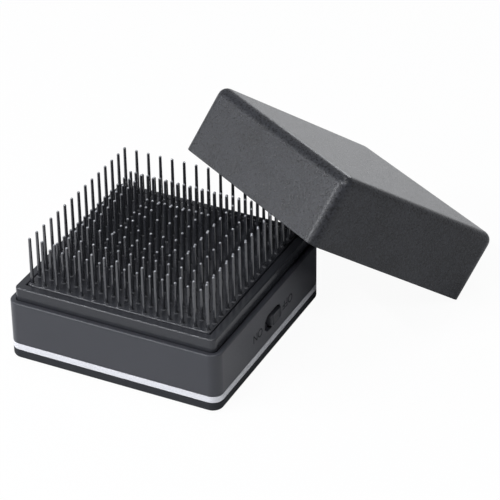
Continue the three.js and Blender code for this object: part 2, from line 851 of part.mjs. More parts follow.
function circuitBoard() {
  const plate = block(
    [boardLeft, boardRight],
    [-BOARD_LENGTH / 2, BOARD_LENGTH / 2],
    [BOARD_LOW, boardTop],
  );
  const holes = [-1, 1].map((sy) =>
    rod(SCREW_SHANK + FIT, [BOARD_LOW - PAST, boardTop + PAST], boardScrewX, sy * boardScrewY),
  );
  return cut(plate, ...holes);
}

function capacitor() {
  const low = boardTop + FIT;
  const top = low + CAPACITOR_HEIGHT;
  const groove = low + CAPACITOR_GROOVE_HEIGHT;
  const can = turned([
    [0, low],
    [CAPACITOR_RADIUS - CAPACITOR_EDGE, low],
    [CAPACITOR_RADIUS, low + CAPACITOR_EDGE],
    [CAPACITOR_RADIUS, groove - CAPACITOR_GROOVE],
    [CAPACITOR_RADIUS - CAPACITOR_GROOVE, groove],
    [CAPACITOR_RADIUS, groove + CAPACITOR_GROOVE],
    [CAPACITOR_RADIUS, top - CAPACITOR_EDGE],
    [CAPACITOR_RADIUS - CAPACITOR_EDGE, top],
    [0, top],
  ]);
  return can.translate([(boardLeft + boardRight) / 2, CAPACITOR_Y, 0]);
}

// A potted block: a thin case whose open top is filled to just below its rim.
function ionModule() {
  const [length, width, height] = MODULE_SIZE;
  const [x, y] = MODULE_CENTRE;
  const low = FLOOR + FIT;
  const spanX = [x - length / 2, x + length / 2];
  const spanY = [y - width / 2, y + width / 2];
  const dip = block(
    spanX.map((v, i) => v + (i ? -MODULE_WALL : MODULE_WALL)),
    spanY.map((v, i) => v + (i ? -MODULE_WALL : MODULE_WALL)),
    [low + height - MODULE_POTTING, low + height + PAST],
  );
  return cut(block(spanX, spanY, [low, low + height]), dip);
}

function switchBody() {
  const back = switchFront - SWITCH_BODY_DEPTH;
  const low = boardTop + FIT;
  const top = 2 * SWITCH_Z - low;
  const body = block(
    [back, switchFront],
    [SWITCH_Y - SWITCH_BODY_LENGTH / 2, SWITCH_Y + SWITCH_BODY_LENGTH / 2],
    [low, top],
  );
  const room = block(
    [back + SWITCH_BODY_WALL, switchFront + PAST],
    [
      SWITCH_Y - SWITCH_BODY_LENGTH / 2 + SWITCH_BODY_WALL,
      SWITCH_Y + SWITCH_BODY_LENGTH / 2 - SWITCH_BODY_WALL,
    ],
    [SWITCH_Z - sliderHeight / 2 - FIT, SWITCH_Z + sliderHeight / 2 + FIT],
  );
  return cut(body, room);
}

function switchSlider() {
  const lengthHalf = STEM_LENGTH / 2 - STEM_WALL - FIT;
  const heightHalf = sliderHeight / 2 - FIT / 2;
  return block(
    [switchFront - SLIDER_ROOT, switchFront + FIT + KNOB_FLANGE + SLIDER_ENTRY],
    [knobY - lengthHalf, knobY + lengthHalf],
    [SWITCH_Z - heightHalf, SWITCH_Z + heightHalf],
  );
}

// An oval thumb piece with grooves across it, on a hollow stem that takes the slider's end.
function switchKnob() {
  const under = recessFloor + FIT;
  const top = half + KNOB_PROUD;
  const thumb = ovalPrism(KNOB_LENGTH, knobHeight, [under, top], knobY, SWITCH_Z);
  const stem = block(
    [flangeX, under + JOIN],
    [knobY - STEM_LENGTH / 2, knobY + STEM_LENGTH / 2],
    [SWITCH_Z - STEM_HEIGHT / 2, SWITCH_Z + STEM_HEIGHT / 2],
  );
  const flangeHeight = STEM_HEIGHT / 2 + FIT + KNOB_FLANGE_REACH;
  const flange = block(
    [flangeX, flangeX + KNOB_FLANGE],
    [knobY - STEM_LENGTH / 2, knobY + STEM_LENGTH / 2],
    [SWITCH_Z - flangeHeight, SWITCH_Z + flangeHeight],
  );
  const socket = block(
    [flangeX - PAST, flangeX + KNOB_FLANGE + SLIDER_ENTRY + FIT],
    [knobY - STEM_LENGTH / 2 + STEM_WALL, knobY + STEM_LENGTH / 2 - STEM_WALL],
    [SWITCH_Z - sliderHeight / 2, SWITCH_Z + sliderHeight / 2],
  );
  let knob = cut(join(thumb, stem, flange), socket);
  for (let i = 0; i < KNOB_GROOVES; i++) {
    const y = knobY + (i - (KNOB_GROOVES - 1) / 2) * KNOB_GROOVE_PITCH;
    const groove = block(
      [top - KNOB_GROOVE_DEPTH, top + PAST],
      [y - KNOB_GROOVE / 2, y + KNOB_GROOVE / 2],
      [SWITCH_Z - knobHeight, SWITCH_Z + knobHeight],
    );
    knob = knob.subtract(groove);
  }
  return knob;
}

// A pan-head screw whose head lies at z = 0 and whose shank goes up, with a cross recess below.
function screw(shankLength) {
  const body = turned(
    [
      [0, 0],
      [SCREW_HEAD - SCREW_EDGE, 0],
      [SCREW_HEAD, SCREW_EDGE],
      [SCREW_HEAD, SCREW_HEAD_HEIGHT],
      [SCREW_SHANK, SCREW_HEAD_HEIGHT],
      [SCREW_SHANK, SCREW_HEAD_HEIGHT + shankLength - SCREW_SHANK],
      [SCREW_POINT, SCREW_HEAD_HEIGHT + shankLength],
      [0, SCREW_HEAD_HEIGHT + shankLength],
    ],
    SMALL_SIDES,
  );
  const long = [-DRIVE_REACH, DRIVE_REACH];
  const thin = [-DRIVE_SLOT / 2, DRIVE_SLOT / 2];
  const deep = [-PAST, DRIVE_DEPTH];
  return cut(body, block(long, thin, deep), block(thin, long, deep));
}

// Leads

function lead(points) {
  const path = new THREE.CatmullRomCurve3(points.map((p) => new THREE.Vector3(...p)));
  return tube(path, LEAD_RADIUS, LEAD_STEPS, LEAD_SIDES);
}

// From the board's top, past the capacitor, over to a side of the ion module.
function supplyLead(place) {
  const [moduleX] = MODULE_CENTRE;
  const [moduleLength] = MODULE_SIZE;
  const side = moduleX + moduleLength / 2 + FIT + LEAD_RADIUS;
  const start = boardLeft + SUPPLY_BEND;
  const besideCapacitor = CAPACITOR_Y - CAPACITOR_RADIUS - FIT - LEAD_RADIUS;
  const y = besideCapacitor - place * SUPPLY_SPACING;
  const entry = FLOOR + FIT + SUPPLY_ENTRY;
  return lead([
    [start, y, boardTop + FIT],
    [start - SUPPLY_BEND / 2, y, boardTop + SUPPLY_RISE / 2],
    [(start + side) / 2, y, boardTop + SUPPLY_RISE],
    [side + 2 * SUPPLY_BEND, y, entry + SUPPLY_RISE / 2],
    [side, y, entry],
  ]);
}

// From the ion module's top to the needle's lower end.
function emitterLead() {
  const [startX, startY] = EMITTER_START;
  const start = FLOOR + FIT + MODULE_SIZE[2] - MODULE_POTTING + FIT;
  const level = (bayTop + needleLow) / 2 - EMITTER_SAG;
  return lead([
    [startX, startY, start],
    [startX, (3 * startY) / 4, level - EMITTER_SAG],
    [startX / 2, startY / 3, level],
    [startX / 8, startY / 12, level],
    [0, 0, needleLow - FIT],
  ]);
}

// Cap, modelled mouth down with its rim at z = 0

function capShell() {
  const innerHalf = neckHalf + CAP_NECK_GAP;
  const outerHalf = innerHalf + CAP_WALL;
  const outer = stack(outerHalf, CAP_CORNER, [[0, 0], ...roundEdge(CAP_HEIGHT, CAP_EDGE, 1)]);
  const innerCorner = CAP_CORNER - CAP_WALL;
  const innerTop = CAP_HEIGHT - CAP_TOP_WALL;
  const hollow = stack(innerHalf + CAP_LEAD_IN, innerCorner + CAP_LEAD_IN, [
    [-PAST, 0],
    [0, 0],
    [CAP_LEAD_IN, CAP_LEAD_IN],
    ...roundEdge(innerTop, CAP_EDGE - CAP_WALL, 1).map(([z, inset]) => [z, inset + CAP_LEAD_IN]),
  ]);
  return cut(outer, hollow);
}

// Finishes: colour, roughness and metalness
const finishes = {
  housing: ["#4a4b50", 0.55, 0],
  cap: ["#58595e", 0.5, 0],
  neck: ["#2f3034", 0.45, 0],
  pad: ["#1b1c1f", 0.5, 0],
  cover: ["#26272b", 0.5, 0],
  band: ["#e4e4e6", 0.3, 0],
  knob: ["#3a3b40", 0.45, 0],
  inner: ["#d8d6cf", 0.6, 0],
  cell: ["#3f6f8c", 0.4, 0.2],
  steel: ["#c3c5c8", 0.3, 1],
  board: ["#2c6b45", 0.6, 0],
  black: ["#202124", 0.6, 0],
  red: ["#b02a26", 0.5, 0],
};

const brush = new THREE.Group();

function add(name, shape, finish, parent = brush) {
  const [color, roughness, metalness] = finishes[finish];
  const material = new THREE.MeshStandardMaterial({ color, roughness, metalness });
  const mesh = new THREE.Mesh(geometryOf(shape), material);
  mesh.name = name;
  parent.add(mesh);
  return mesh;
}

add("bottom_cover", bottomCover(), "cover");
add("trim_band", trimBand(), "band");
add("housing_shell", housingShell(), "housing");
add("neck_frame", neckFrame(), "neck");
add("pin_pad", pinPad(), "pad");
add("pad_carrier", padCarrier(), "inner");
add("emitter_holder", emitterHolder(), "black");
add("emitter_needle", emitterNeedle(), "steel");

add("battery_tray", batteryTray(), "black");
add("battery_1", cell(-1, cellLeft, cellMiddles[0]), "cell");
add("battery_2", cell(1, rightPlateX - FIT - CELL_LENGTH, cellMiddles[1]), "cell");
add("bridge_contact", bridgeContact(), "steel");
add("terminal_negative", terminal(cellMiddles[0]), "steel");
add("terminal_positive", terminal(cellMiddles[1]), "steel");
const springAtRight = contactSpring(rightPlateX - FIT, cellRight + springFromCell, cellMiddles[0]);
const springAtLeft = contactSpring(
  leftPlateX + PLATE + FIT,
  rightPlateX - 2 * FIT - CELL_LENGTH,
  cellMiddles[1],
);
add("contact_spring_1", springAtRight, "steel");
add("contact_spring_2", springAtLeft, "steel");
add("battery_door", batteryDoor(), "cover");

add("ion_module", ionModule(), "black");
add("circuit_board", circuitBoard(), "board");
add("capacitor", capacitor(), "black");
add("switch_body", switchBody(), "steel");
add("switch_slider", switchSlider(), "black");
add("switch_knob", switchKnob(), "knob");

const headLow = SCREW_SEAT - FIT - SCREW_HEAD_HEIGHT;
const caseShank = screwTop - headLow - SCREW_HEAD_HEIGHT;
corners.forEach(([sx, sy], i) => {
  const caseScrew = add(`case_screw_${i + 1}`, screw(caseShank), "steel");
  caseScrew.position.set(sx * bossAt, sy * bossAt, headLow);
});
[-1, 1].forEach((sy, i) => {
  const boardScrew = add(`board_screw_${i + 1}`, screw(BOARD_SCREW_LENGTH), "steel");
  boardScrew.rotation.x = Math.PI;
  boardScrew.position.set(boardScrewX, sy * boardScrewY, boardTop + FIT + SCREW_HEAD_HEIGHT);
});

add("lead_positive", supplyLead(0), "red");
add("lead_negative", supplyLead(1), "black");
add("lead_emitter", emitterLead(), "inner");

// The cap stands on its far rim edge and leans until its near rim edge lies on the long pins' tips.
const capSide = 2 * (neckHalf + CAP_NECK_GAP + CAP_WALL);
const rimLand = CAP_WALL - CAP_LEAD_IN;
const lean = Math.asin((PIN_TIP + REST_GAP) / (capSide - rimLand));
const capStand = new THREE.Group();
capStand.position.set(...CAP_STAND, 0);
capStand.rotation.z = THREE.MathUtils.degToRad(CAP_TURN);
const capTilt = new THREE.Group();
capTilt.rotation.x = -lean;
capStand.add(capTilt);
brush.add(capStand);
const cap = add("cap_shell", capShell(), "cap", capTilt);
cap.position.set(0, -capSide / 2, 0);

export default brush;
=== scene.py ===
"""Looks of a square ionic styling brush whose cap is taken off and leaned on its pins.

Lengths are in metres, in the frame of the CAD model: +Z up, the wide front face at -Y and the face
with the slide switch at +X. Shells are profiles carried round a square with round corners.
"""

from math import asin, pi, radians

import bpy
import numpy as np
from mathutils import Matrix, Vector


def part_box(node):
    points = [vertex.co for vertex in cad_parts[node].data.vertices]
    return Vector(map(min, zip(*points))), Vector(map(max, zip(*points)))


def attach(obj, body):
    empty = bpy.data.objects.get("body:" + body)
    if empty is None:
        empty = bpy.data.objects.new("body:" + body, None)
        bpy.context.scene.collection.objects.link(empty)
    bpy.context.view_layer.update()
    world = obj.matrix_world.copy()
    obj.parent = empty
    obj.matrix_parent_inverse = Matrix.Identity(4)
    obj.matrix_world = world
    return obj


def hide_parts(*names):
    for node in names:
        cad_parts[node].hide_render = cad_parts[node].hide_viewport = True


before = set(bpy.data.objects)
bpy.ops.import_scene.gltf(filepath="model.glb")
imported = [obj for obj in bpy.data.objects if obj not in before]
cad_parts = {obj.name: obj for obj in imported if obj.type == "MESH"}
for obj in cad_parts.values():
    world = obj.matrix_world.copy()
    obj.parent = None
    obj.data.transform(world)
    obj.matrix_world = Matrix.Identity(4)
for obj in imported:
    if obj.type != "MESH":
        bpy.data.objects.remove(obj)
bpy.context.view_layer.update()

bl_info = {
    "name": "Styling brush",
    "version": (1, 0, 0),
    "blender": (4, 5, 0),
    "location": "3D View > Sidebar > Styling brush",
    "description": "Builds the shells, pins, cap and finishes of a square styling brush",
    "category": "Add Mesh",
}

MM = 0.001

# Facets of the round stretches
CORNER_STEPS = 12  # in a quarter turn of a shell's plan: its profile's corners have half of them
FILLET_STEPS = 6  # along the round edge of the switch recess and of the knob
CUTTER_SIDES = 32
PIN_SIDES = 8
LEAST_RADIUS = 0.05 * MM  # of a shell's corners, however far a ring is inset
SHARP_ANGLE = radians(35)  # past it, an edge is shaded as sharp

# The pieces' boxes in the CAD model
COVER_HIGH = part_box("bottom_cover")[1]
BAND_LOW, BAND_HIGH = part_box("trim_band")
HOUSING_LOW, HOUSING_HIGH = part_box("housing_shell")
NECK_LOW, NECK_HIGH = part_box("neck_frame")
PAD_LOW, PAD_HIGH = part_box("pin_pad")
DOOR_LOW, DOOR_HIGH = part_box("battery_door")
KNOB_LOW, KNOB_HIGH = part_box("switch_knob")

# The base's shells: an inset is measured inwards from the base's side.
HALF = HOUSING_HIGH.x
HUB = 2 * MM  # half side of the flat that closes a plate in its middle
SEAM_GAP = 0.15 * MM
COVER_TOP = BAND_LOW.z - SEAM_GAP
COVER_FLOOR = 2 * MM
TONGUE_INSET = HALF - 33.05 * MM  # of the cover's tongue, which stands up inside the band
TONGUE_WALL = 1.2 * MM
BORE_INSET = HALF - 33.35 * MM
SHOULDER_INSET = BORE_INSET + 1.8 * MM
SHOULDER_LOW = 15.2 * MM
SHOULDER_HIGH = 17 * MM
SCREW_FROM_SIDE = 4.6 * MM
SCREW_SEAT_RADIUS = 2.2 * MM
SCREW_SEAT_DEPTH = 2.1 * MM
SCREW_HOLE_RADIUS = 1.3 * MM
DOOR_GAP = 0.3 * MM
DOOR_LIP = 0.8 * MM
DOOR_LIP_LOW = 1 * MM
NECK_CORNER = 1.65 * MM
SKIRT_WALL = 1.7 * MM  # of the neck's skirt, which hangs down inside the housing
SKIRT_HEIGHT = 2 * MM
PAST = 1 * MM  # how far a cutter reaches past what it cuts

# The pad and its pins
PAD_TOP = 24.2 * MM
PAD_SEAT = 22 * MM
PAD_GAP = 0.3 * MM
PAD_LEDGE = 1.7 * MM
PAD_CORNER = 1 * MM
PAD_EDGE = 0.4 * MM
OUTLET_RADIUS = 2.2 * MM
PIN_DROPS = np.array([0, 5.3, 2.4]) * MM  # of a ring's tips below the highest, from outside in
FOOT_FLARES = (0.45 * MM, 0.12 * MM, 0)  # beyond a pin's radius, from its foot up
FOOT_HEIGHTS = np.array([-0.05, 0.2, 0.7]) * MM  # of the flares, over the pad's top
TIP_ANGLES = np.radians([0, 35, 65, 84])  # up the tip's quarter circle
# Shares of a tip's polish and of its pale colour, which is a painted highlight
TIP_POLISH_AND_HIGHLIGHT = np.array([0.4, 1, 1])  # on a pin's last circles of points

# The slide switch and the words beside it
SWITCH_Y = 1.4 * MM
SWITCH_Z = 11.5 * MM
RECESS_LENGTH = 10.8 * MM
RECESS_HEIGHT = 5.4 * MM
RECESS_DEPTH = 1.3 * MM
RECESS_LIP = 0.25 * MM  # radius of the recess's outer edge
KNOB_EDGE = 0.5 * MM
KNOB_FOOT = 1.0 * MM  # depth below the housing's face
KNOB_RINGS = 7  # from the knob's round edge in to its core
RIB_PITCH = 1.2 * MM
RIB_DEPTH = 0.35 * MM
RIB_FADE = 0.7 * MM  # the ribs reach their full depth this far in from the knob's outline
RIB_REACH = 2.6 * RIB_PITCH  # of the ribs, to each side of the knob's middle
LETTER_SIZE = 4 * MM
LETTER_FOOT = 1.35 * MM  # the letters' feet above the switch's middle
INK_FILM = 0.03 * MM
ON_START = -5.6 * MM
OFF_START = 15 * MM

# The cap, and its pose: it stands on its far rim edge and leans on the tips of the pins.
CAP_SIDE = 69 * MM
CAP_HEIGHT = 22.8 * MM
CAP_WALL = 1.2 * MM
CAP_ROOF = 1.4 * MM
CAP_LEAD_IN = 0.5 * MM
CAP_RIM_LAND = 0.7 * MM
CAP_RIM_EDGE = 0.15 * MM
CAP_SOFTNESS = 2.3  # power of the superellipse that rounds its edges
CAP_STAND = Vector((46.2, 66.8, 0)) * MM  # middle of that rim edge
CAP_TURN = radians(-30.5)
CAP_CLEARANCE = 0.1 * MM  # between its rim and the tips
CAP_LEAN = asin((PAD_HIGH.z + CAP_CLEARANCE) / (CAP_SIDE - CAP_RIM_LAND))

# The surroundings, the floor and the lamps
COOL_WHITE = (0.95, 0.965, 1.0)
SURROUND_LIGHT = 0.06  # strength of the white all round as a light
SURROUND_MIRRORED = 0.55  # and in reflections
FLOOR_SEEN = 0.95  # share of white that the camera sees on the floor
FLOOR_MIRRORED = 0.43  # and that reflections see on its far stretches
FLOOR_MIDDLE = -0.03  # Y round which reflections see the paint only
FLOOR_NEAR = 0.1  # distance from there at which their white begins
FLOOR_FAR = 0.15  # and at which it is full
FLOOR_REACH = 4.0  # half side
FLOOR_DROP = 0.02 * MM  # below the foot, so that the two don't coincide
CAMERA_PLACE = (0.30755, -0.5582, 0.4321)  # solved from the photograph, as are the next two
CAMERA_TURN = (radians(57.499), radians(0.678), radians(26.138))
CAMERA_LENS = 181.58  # in mm, on a sensor of the next width
CAMERA_SENSOR = 36
LAMPS_AIM = Vector((0, 0, 20)) * MM

# Finishes
PLASTIC_IOR = 1.52
CLOUD_SIZE = 9 * MM
CLOUD_SPREAD = 0.325  # of the mixed noise, to each side of its middle
GLOSS_DRIFT = 0.05
TIP_ROUGHNESS = 0.1
NOISE_LOW, NOISE_HIGH = 0.3, 0.7  # nearly all of a noise's values lie between them
STREAK_STRETCH = 20  # a drawn streak's length over its width
TINT_SIZE = 3 * MM  # of the slow patches in a plating's tint
DUST_SIZE = 0.6 * MM  # of the dull specks on a sleeve
TRACK_GRID = 10 * MM  # holds four rows of the board's tracks
SOLDER_PITCH = 3.2 * MM  # between two of its tinned pads, about


def linear(colour):
    """An sRGB hex colour such as "#36373b" as linear red, green, blue and alpha."""
    codes = [int(colour[i : i + 2], 16) / 255 for i in (1, 3, 5)]
    return [((c + 0.055) / 1.055) ** 2.4 if c > 0.04045 else c / 12.92 for c in codes] + [1.0]


def add_node(tree, kind, inputs, **settings):
    """Adds a node. An input is a value or another node's output socket.

    Sockets go by name, or by number where several share one: a Mix node's share is 0, its numbers
    are 2 and 3, with output 0, and its colours are 6 and 7, with output 2. A Map Range node reads
    from 1 to 2, and gives 3 to 4.
    """
    new = tree.nodes.new(kind)
    for name, value in settings.items():
        setattr(new, name, value)
    for socket, value in inputs.items():
        if isinstance(value, bpy.types.NodeSocket):
            tree.links.new(value, new.inputs[socket])
        else:
            new.inputs[socket].default_value = value
    return new


def quarter_turn(power):
    """A quarter of a superellipse from (1, 0) to (0, 1): cosine and sine to the 2/power. A power of
    2 is a circle, and a higher one eases more softly into the straights on both sides."""
    turn = np.linspace(0, pi / 2, CORNER_STEPS + 1)
    return np.clip([np.cos(turn), np.sin(turn)], 0, 1) ** (2 / power)


def square_rings(insets, heights, half, corner, power=2):
    """Rings of a square with round corners, one for each inset and height of a profile.

    A ring's half side is `half` less its inset, and its corners' radius is `corner` less the inset.
    Each corner is a quarter turn about a centre one radius in from both sides.
    """
    insets = np.asarray(insets, float)[:, None, None]
    radius = np.maximum(corner - insets, LEAST_RADIUS)
    across, up = quarter_turn(power)
    turned_x = np.array([across, -up, -across, up])
    turned_y = np.array([up, across, -up, -across])
    signs = np.array([[1, 1], [-1, 1], [-1, -1], [1, -1]])
    centre = (half - insets - radius) * np.ones((1, 4, CORNER_STEPS + 1))
    x = signs[:, 0, None] * centre + radius * turned_x
    y = signs[:, 1, None] * centre + radius * turned_y
    z = np.asarray(heights, float)[:, None, None] * np.ones_like(x)
    return np.stack([x, y, z], -1).reshape(len(insets), -1, 3)


def rounded_profile(points, closed=True, power=2):
    """A profile of (inset, height, radius) corners, each right-angled one rounded by its radius.

    A round corner is a quarter turn from one radius before it to one radius after it: the point
    goes in along the last leg by one less the sine, and out along the next by one less the cosine.
    """
    corners = np.array([p[:2] for p in points], float)
    across, up = quarter_turn(power)[:, ::2]
    made = []
    for i, (corner, point) in enumerate(zip(corners, points)):
        radius = point[2]
        at_end = not closed and i in (0, len(corners) - 1)
        if radius <= 0 or at_end:
            made.append(corner[None])
            continue
        to_last = corners[i - 1] - corner
        to_next = corners[(i + 1) % len(corners)] - corner
        to_last *= radius / np.linalg.norm(to_last)
        to_next *= radius / np.linalg.norm(to_next)
        made.append(corner + (1 - up)[:, None] * to_last + (1 - across)[:, None] * to_next)
    return np.concatenate(made).T


def grid_faces(rows, columns, wrap_rows=False):
    """Quads of a grid of points whose columns close on themselves, and its rows too if asked."""
    row = np.arange(rows if wrap_rows else rows - 1)[:, None]
    column = np.arange(columns)[None]
    above = (row + 1) % rows
    beside = (column + 1) % columns
    corners = [row * columns + column, row * columns + beside]
    corners += [above * columns + beside, above * columns + column]
    return np.stack(np.broadcast_arrays(*corners), -1).reshape(-1, 4)


def capped_faces(rows, columns):
    """Faces of a grid of points, with one flat face over its first row and one over its last."""
    last = (rows - 1) * columns
    ends = [list(range(columns))[::-1], list(range(last, last + columns))]
    return grid_faces(rows, columns).tolist() + ends


def new_piece(name, vertices, faces, body=None, material=None):
    """An object at the origin from points and faces, finished where a body is given."""
    mesh = bpy.data.meshes.new(name)
    mesh.from_pydata(np.asarray(vertices).tolist(), [], [list(map(int, f)) for f in faces])
    piece = bpy.data.objects.new(name, mesh)
    bpy.context.scene.collection.objects.link(piece)
    if body:
        finish_piece(piece, body, material)
    return piece


def finish_piece(piece, body, material):
    """Smooths a piece, weights its normals so that flat faces stay flat, and seats it on a body."""
    mesh = piece.data
    mesh.polygons.foreach_set("use_smooth", np.ones(len(mesh.polygons), bool))
    mesh.set_sharp_from_angle(angle=SHARP_ANGLE)
    weighted = piece.modifiers.new("Flat faces", "WEIGHTED_NORMAL")
    weighted.keep_sharp = True
    mesh.materials.clear()
    mesh.materials.append(material)
    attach(piece, body)


def shell(name, profile, half, corner, closed, power=2):
    """A profile carried round the square: a closed one makes a ring, an open one a cup or plate
    whose first and last rings are closed by one flat face each."""
    rings = square_rings(*profile, half, corner, power)
    rows, columns = rings.shape[:2]
    if closed:
        faces = grid_faces(rows, columns, wrap_rows=True)
    else:
        faces = capped_faces(rows, columns)
    return new_piece(name, rings.reshape(-1, 3), faces)


def box_cutter(low, high):
    """A closed box between two corners."""
    corners = np.array([[x, y, z] for z in (0, 1) for y in (0, 1) for x in (0, 1)])
    points = np.asarray(low) + corners * (np.asarray(high) - np.asarray(low))
    faces = [(0, 2, 3, 1), (4, 5, 7, 6), (0, 1, 5, 4), (1, 3, 7, 5), (3, 2, 6, 7), (2, 0, 4, 6)]
    return new_piece("cutter", points, faces)


def turned_cutter(radii, heights, x, y):
    """A profile of radii and heights turned about an upright axis, closed at both ends."""
    angles = np.arange(CUTTER_SIDES) * 2 * pi / CUTTER_SIDES
    radii = np.asarray(radii)[:, None]
    points = [x + radii * np.cos(angles), y + radii * np.sin(angles)]
    points.append(np.asarray(heights)[:, None] * np.ones((1, CUTTER_SIDES)))
    faces = capped_faces(len(radii), CUTTER_SIDES)
    return new_piece("cutter", np.stack(points, -1).reshape(-1, 3), faces)


def oval_rings(lengths, heights, depths, y, z):
    """Rings of an oval with round ends in the YZ plane, one for each length, height and depth in X.

    The oval is the set of points at half its height from a straight core of length less height.
    """
    half_turn = np.linspace(-pi / 2, pi / 2, 2 * CORNER_STEPS + 1)
    angles = np.concatenate([half_turn, half_turn + pi])
    ends = np.repeat([1, -1], len(half_turn))
    lengths, heights, depths = (np.asarray(v, float)[:, None] for v in (lengths, heights, depths))
    ys = y + ends * (lengths - heights) / 2 + heights / 2 * np.cos(angles)
    zs = z + heights / 2 * np.sin(angles)
    return np.stack([depths * np.ones_like(ys), ys, zs], -1)


def cut(piece, *cutters):
    """Takes closed cutters out of a piece for good, and removes them."""
    for cutter in cutters:
        boolean = piece.modifiers.new("Cut", "BOOLEAN")
        boolean.operation = "DIFFERENCE"
        boolean.solver = "EXACT"
        boolean.object = cutter
    settled = piece.evaluated_get(bpy.context.evaluated_depsgraph_get())
    mesh = bpy.data.meshes.new_from_object(settled)
    piece.modifiers.clear()
    piece.data = mesh
    for cutter in cutters:
        bpy.data.objects.remove(cutter)
    if len(mesh.polygons) == 0:
        raise RuntimeError(f"{piece.name} is empty after its cuts")


def bare_tree(name):
    """A new material, its empty node tree, and its object coordinates."""
    material = bpy.data.materials.new(name)
    material.use_nodes = True
    tree = material.node_tree
    tree.nodes.clear()
    return material, tree, add_node(tree, "ShaderNodeTexCoord", {}).outputs["Object"]


def moulded_plastic(
    name, colour, roughness, grain, relief, mottle, specular=0.5, speckle=0.75, tip=None
):
    """Injection-moulded plastic from a textured mould: a fine grain in relief, which also turns
    the gloss a little, over a slow cloudiness of the colour.

    Grain and relief are in mm. `mottle` is how far grain and cloudiness darken and lighten the
    colour, and `speckle` the grain's share in that against the cloudiness's share of 1. Where the
    piece's attribute "tip" is 1, it is polished and takes the tip's pale colour, which is a
    painted highlight.
    """
    material, tree, place = bare_tree(name)
    fine = add_node(
        tree,
        "ShaderNodeTexNoise",
        {"Vector": place, "Scale": 1 / (grain * MM), "Detail": 2.0, "Roughness": 0.65},
    ).outputs["Fac"]
    cloud = add_node(
        tree, "ShaderNodeTexNoise", {"Vector": place, "Scale": 1 / CLOUD_SIZE, "Detail": 3.0}
    ).outputs["Fac"]
    both = add_node(
        tree, "ShaderNodeMath", {0: fine, 1: speckle, 2: cloud}, operation="MULTIPLY_ADD"
    ).outputs[0]
    middle = 0.5 * (1 + speckle)
    low, high = middle - CLOUD_SPREAD, middle + CLOUD_SPREAD
    value = add_node(
        tree,
        "ShaderNodeMapRange",
        {"Value": both, 1: low, 2: high, 3: 1 - mottle, 4: 1 + mottle},
    ).outputs[0]
    base = add_node(
        tree, "ShaderNodeHueSaturation", {"Color": linear(colour), "Value": value}
    ).outputs["Color"]
    low, high = roughness - GLOSS_DRIFT, roughness + GLOSS_DRIFT
    gloss = add_node(
        tree,
        "ShaderNodeMapRange",
        {"Value": fine, 1: NOISE_LOW, 2: NOISE_HIGH, 3: low, 4: high},
    ).outputs[0]
    bump = add_node(
        tree, "ShaderNodeBump", {"Strength": 1.0, "Distance": relief * MM, "Height": fine}
    )
    # The tip's pale colour is a painted highlight. Its lower roughness is real polish.
    if tip:
        share = add_node(tree, "ShaderNodeAttribute", {}, attribute_name="tip").outputs["Fac"]
        paler = {0: share, 6: base, 7: linear(tip)}
        base = add_node(tree, "ShaderNodeMix", paler, data_type="RGBA").outputs[2]
        smoother = {0: share, 2: gloss, 3: TIP_ROUGHNESS}
        gloss = add_node(tree, "ShaderNodeMix", smoother, data_type="FLOAT").outputs[0]
    shader = add_node(
        tree,
        "ShaderNodeBsdfPrincipled",
        {
            "Base Color": base,
            "Roughness": gloss,
            "Normal": bump.outputs["Normal"],
            "IOR": PLASTIC_IOR,
            "Specular IOR Level": specular,
        },
    )
    add_node(tree, "ShaderNodeOutputMaterial", {"Surface": shader.outputs[0]})
    return material


def plated_metal(name, colour, second, roughness, streak):
    """Plated sheet, wire or screw: fine drawn streaks along X, `streak` mm apart, under a plating
    whose tint drifts slowly between two colours."""
    material, tree, place = bare_tree(name)
    drawn = (1 / STREAK_STRETCH, 1, 1)
    along = add_node(tree, "ShaderNodeMapping", {"Vector": place, "Scale": drawn})
    lines = add_node(
        tree,
        "ShaderNodeTexNoise",
        {"Vector": along.outputs[0], "Scale": 1 / (streak * MM), "Detail": 3.0},
    ).outputs["Fac"]
    drift = add_node(
        tree, "ShaderNodeTexNoise", {"Vector": place, "Scale": 1 / TINT_SIZE, "Detail": 2.0}
    ).outputs["Fac"]
    share = add_node(tree, "ShaderNodeMapRange", {"Value": drift, 1: 0.35, 2: 0.65}).outputs[0]
    plating = add_node(
        tree,
        "ShaderNodeMix",
        {0: share, 6: linear(colour), 7: linear(second)},
        data_type="RGBA",
    )
    value = add_node(
        tree,
        "ShaderNodeMapRange",
        {"Value": lines, 1: NOISE_LOW, 2: NOISE_HIGH, 3: 0.88, 4: 1.06},
    )
    tint = add_node(
        tree, "ShaderNodeHueSaturation", {"Color": plating.outputs[2], "Value": value.outputs[0]}
    )
    low, high = roughness - 0.08, roughness + 0.08
    gloss = add_node(
        tree,
        "ShaderNodeMapRange",
        {"Value": lines, 1: NOISE_LOW, 2: NOISE_HIGH, 3: low, 4: high},
    )
    shader = add_node(
        tree,
        "ShaderNodeBsdfPrincipled",
        {"Base Color": tint.outputs["Color"], "Roughness": gloss.outputs[0], "Metallic": 1.0},
    )
    add_node(tree, "ShaderNodeOutputMaterial", {"Surface": shader.outputs[0]})
    return material


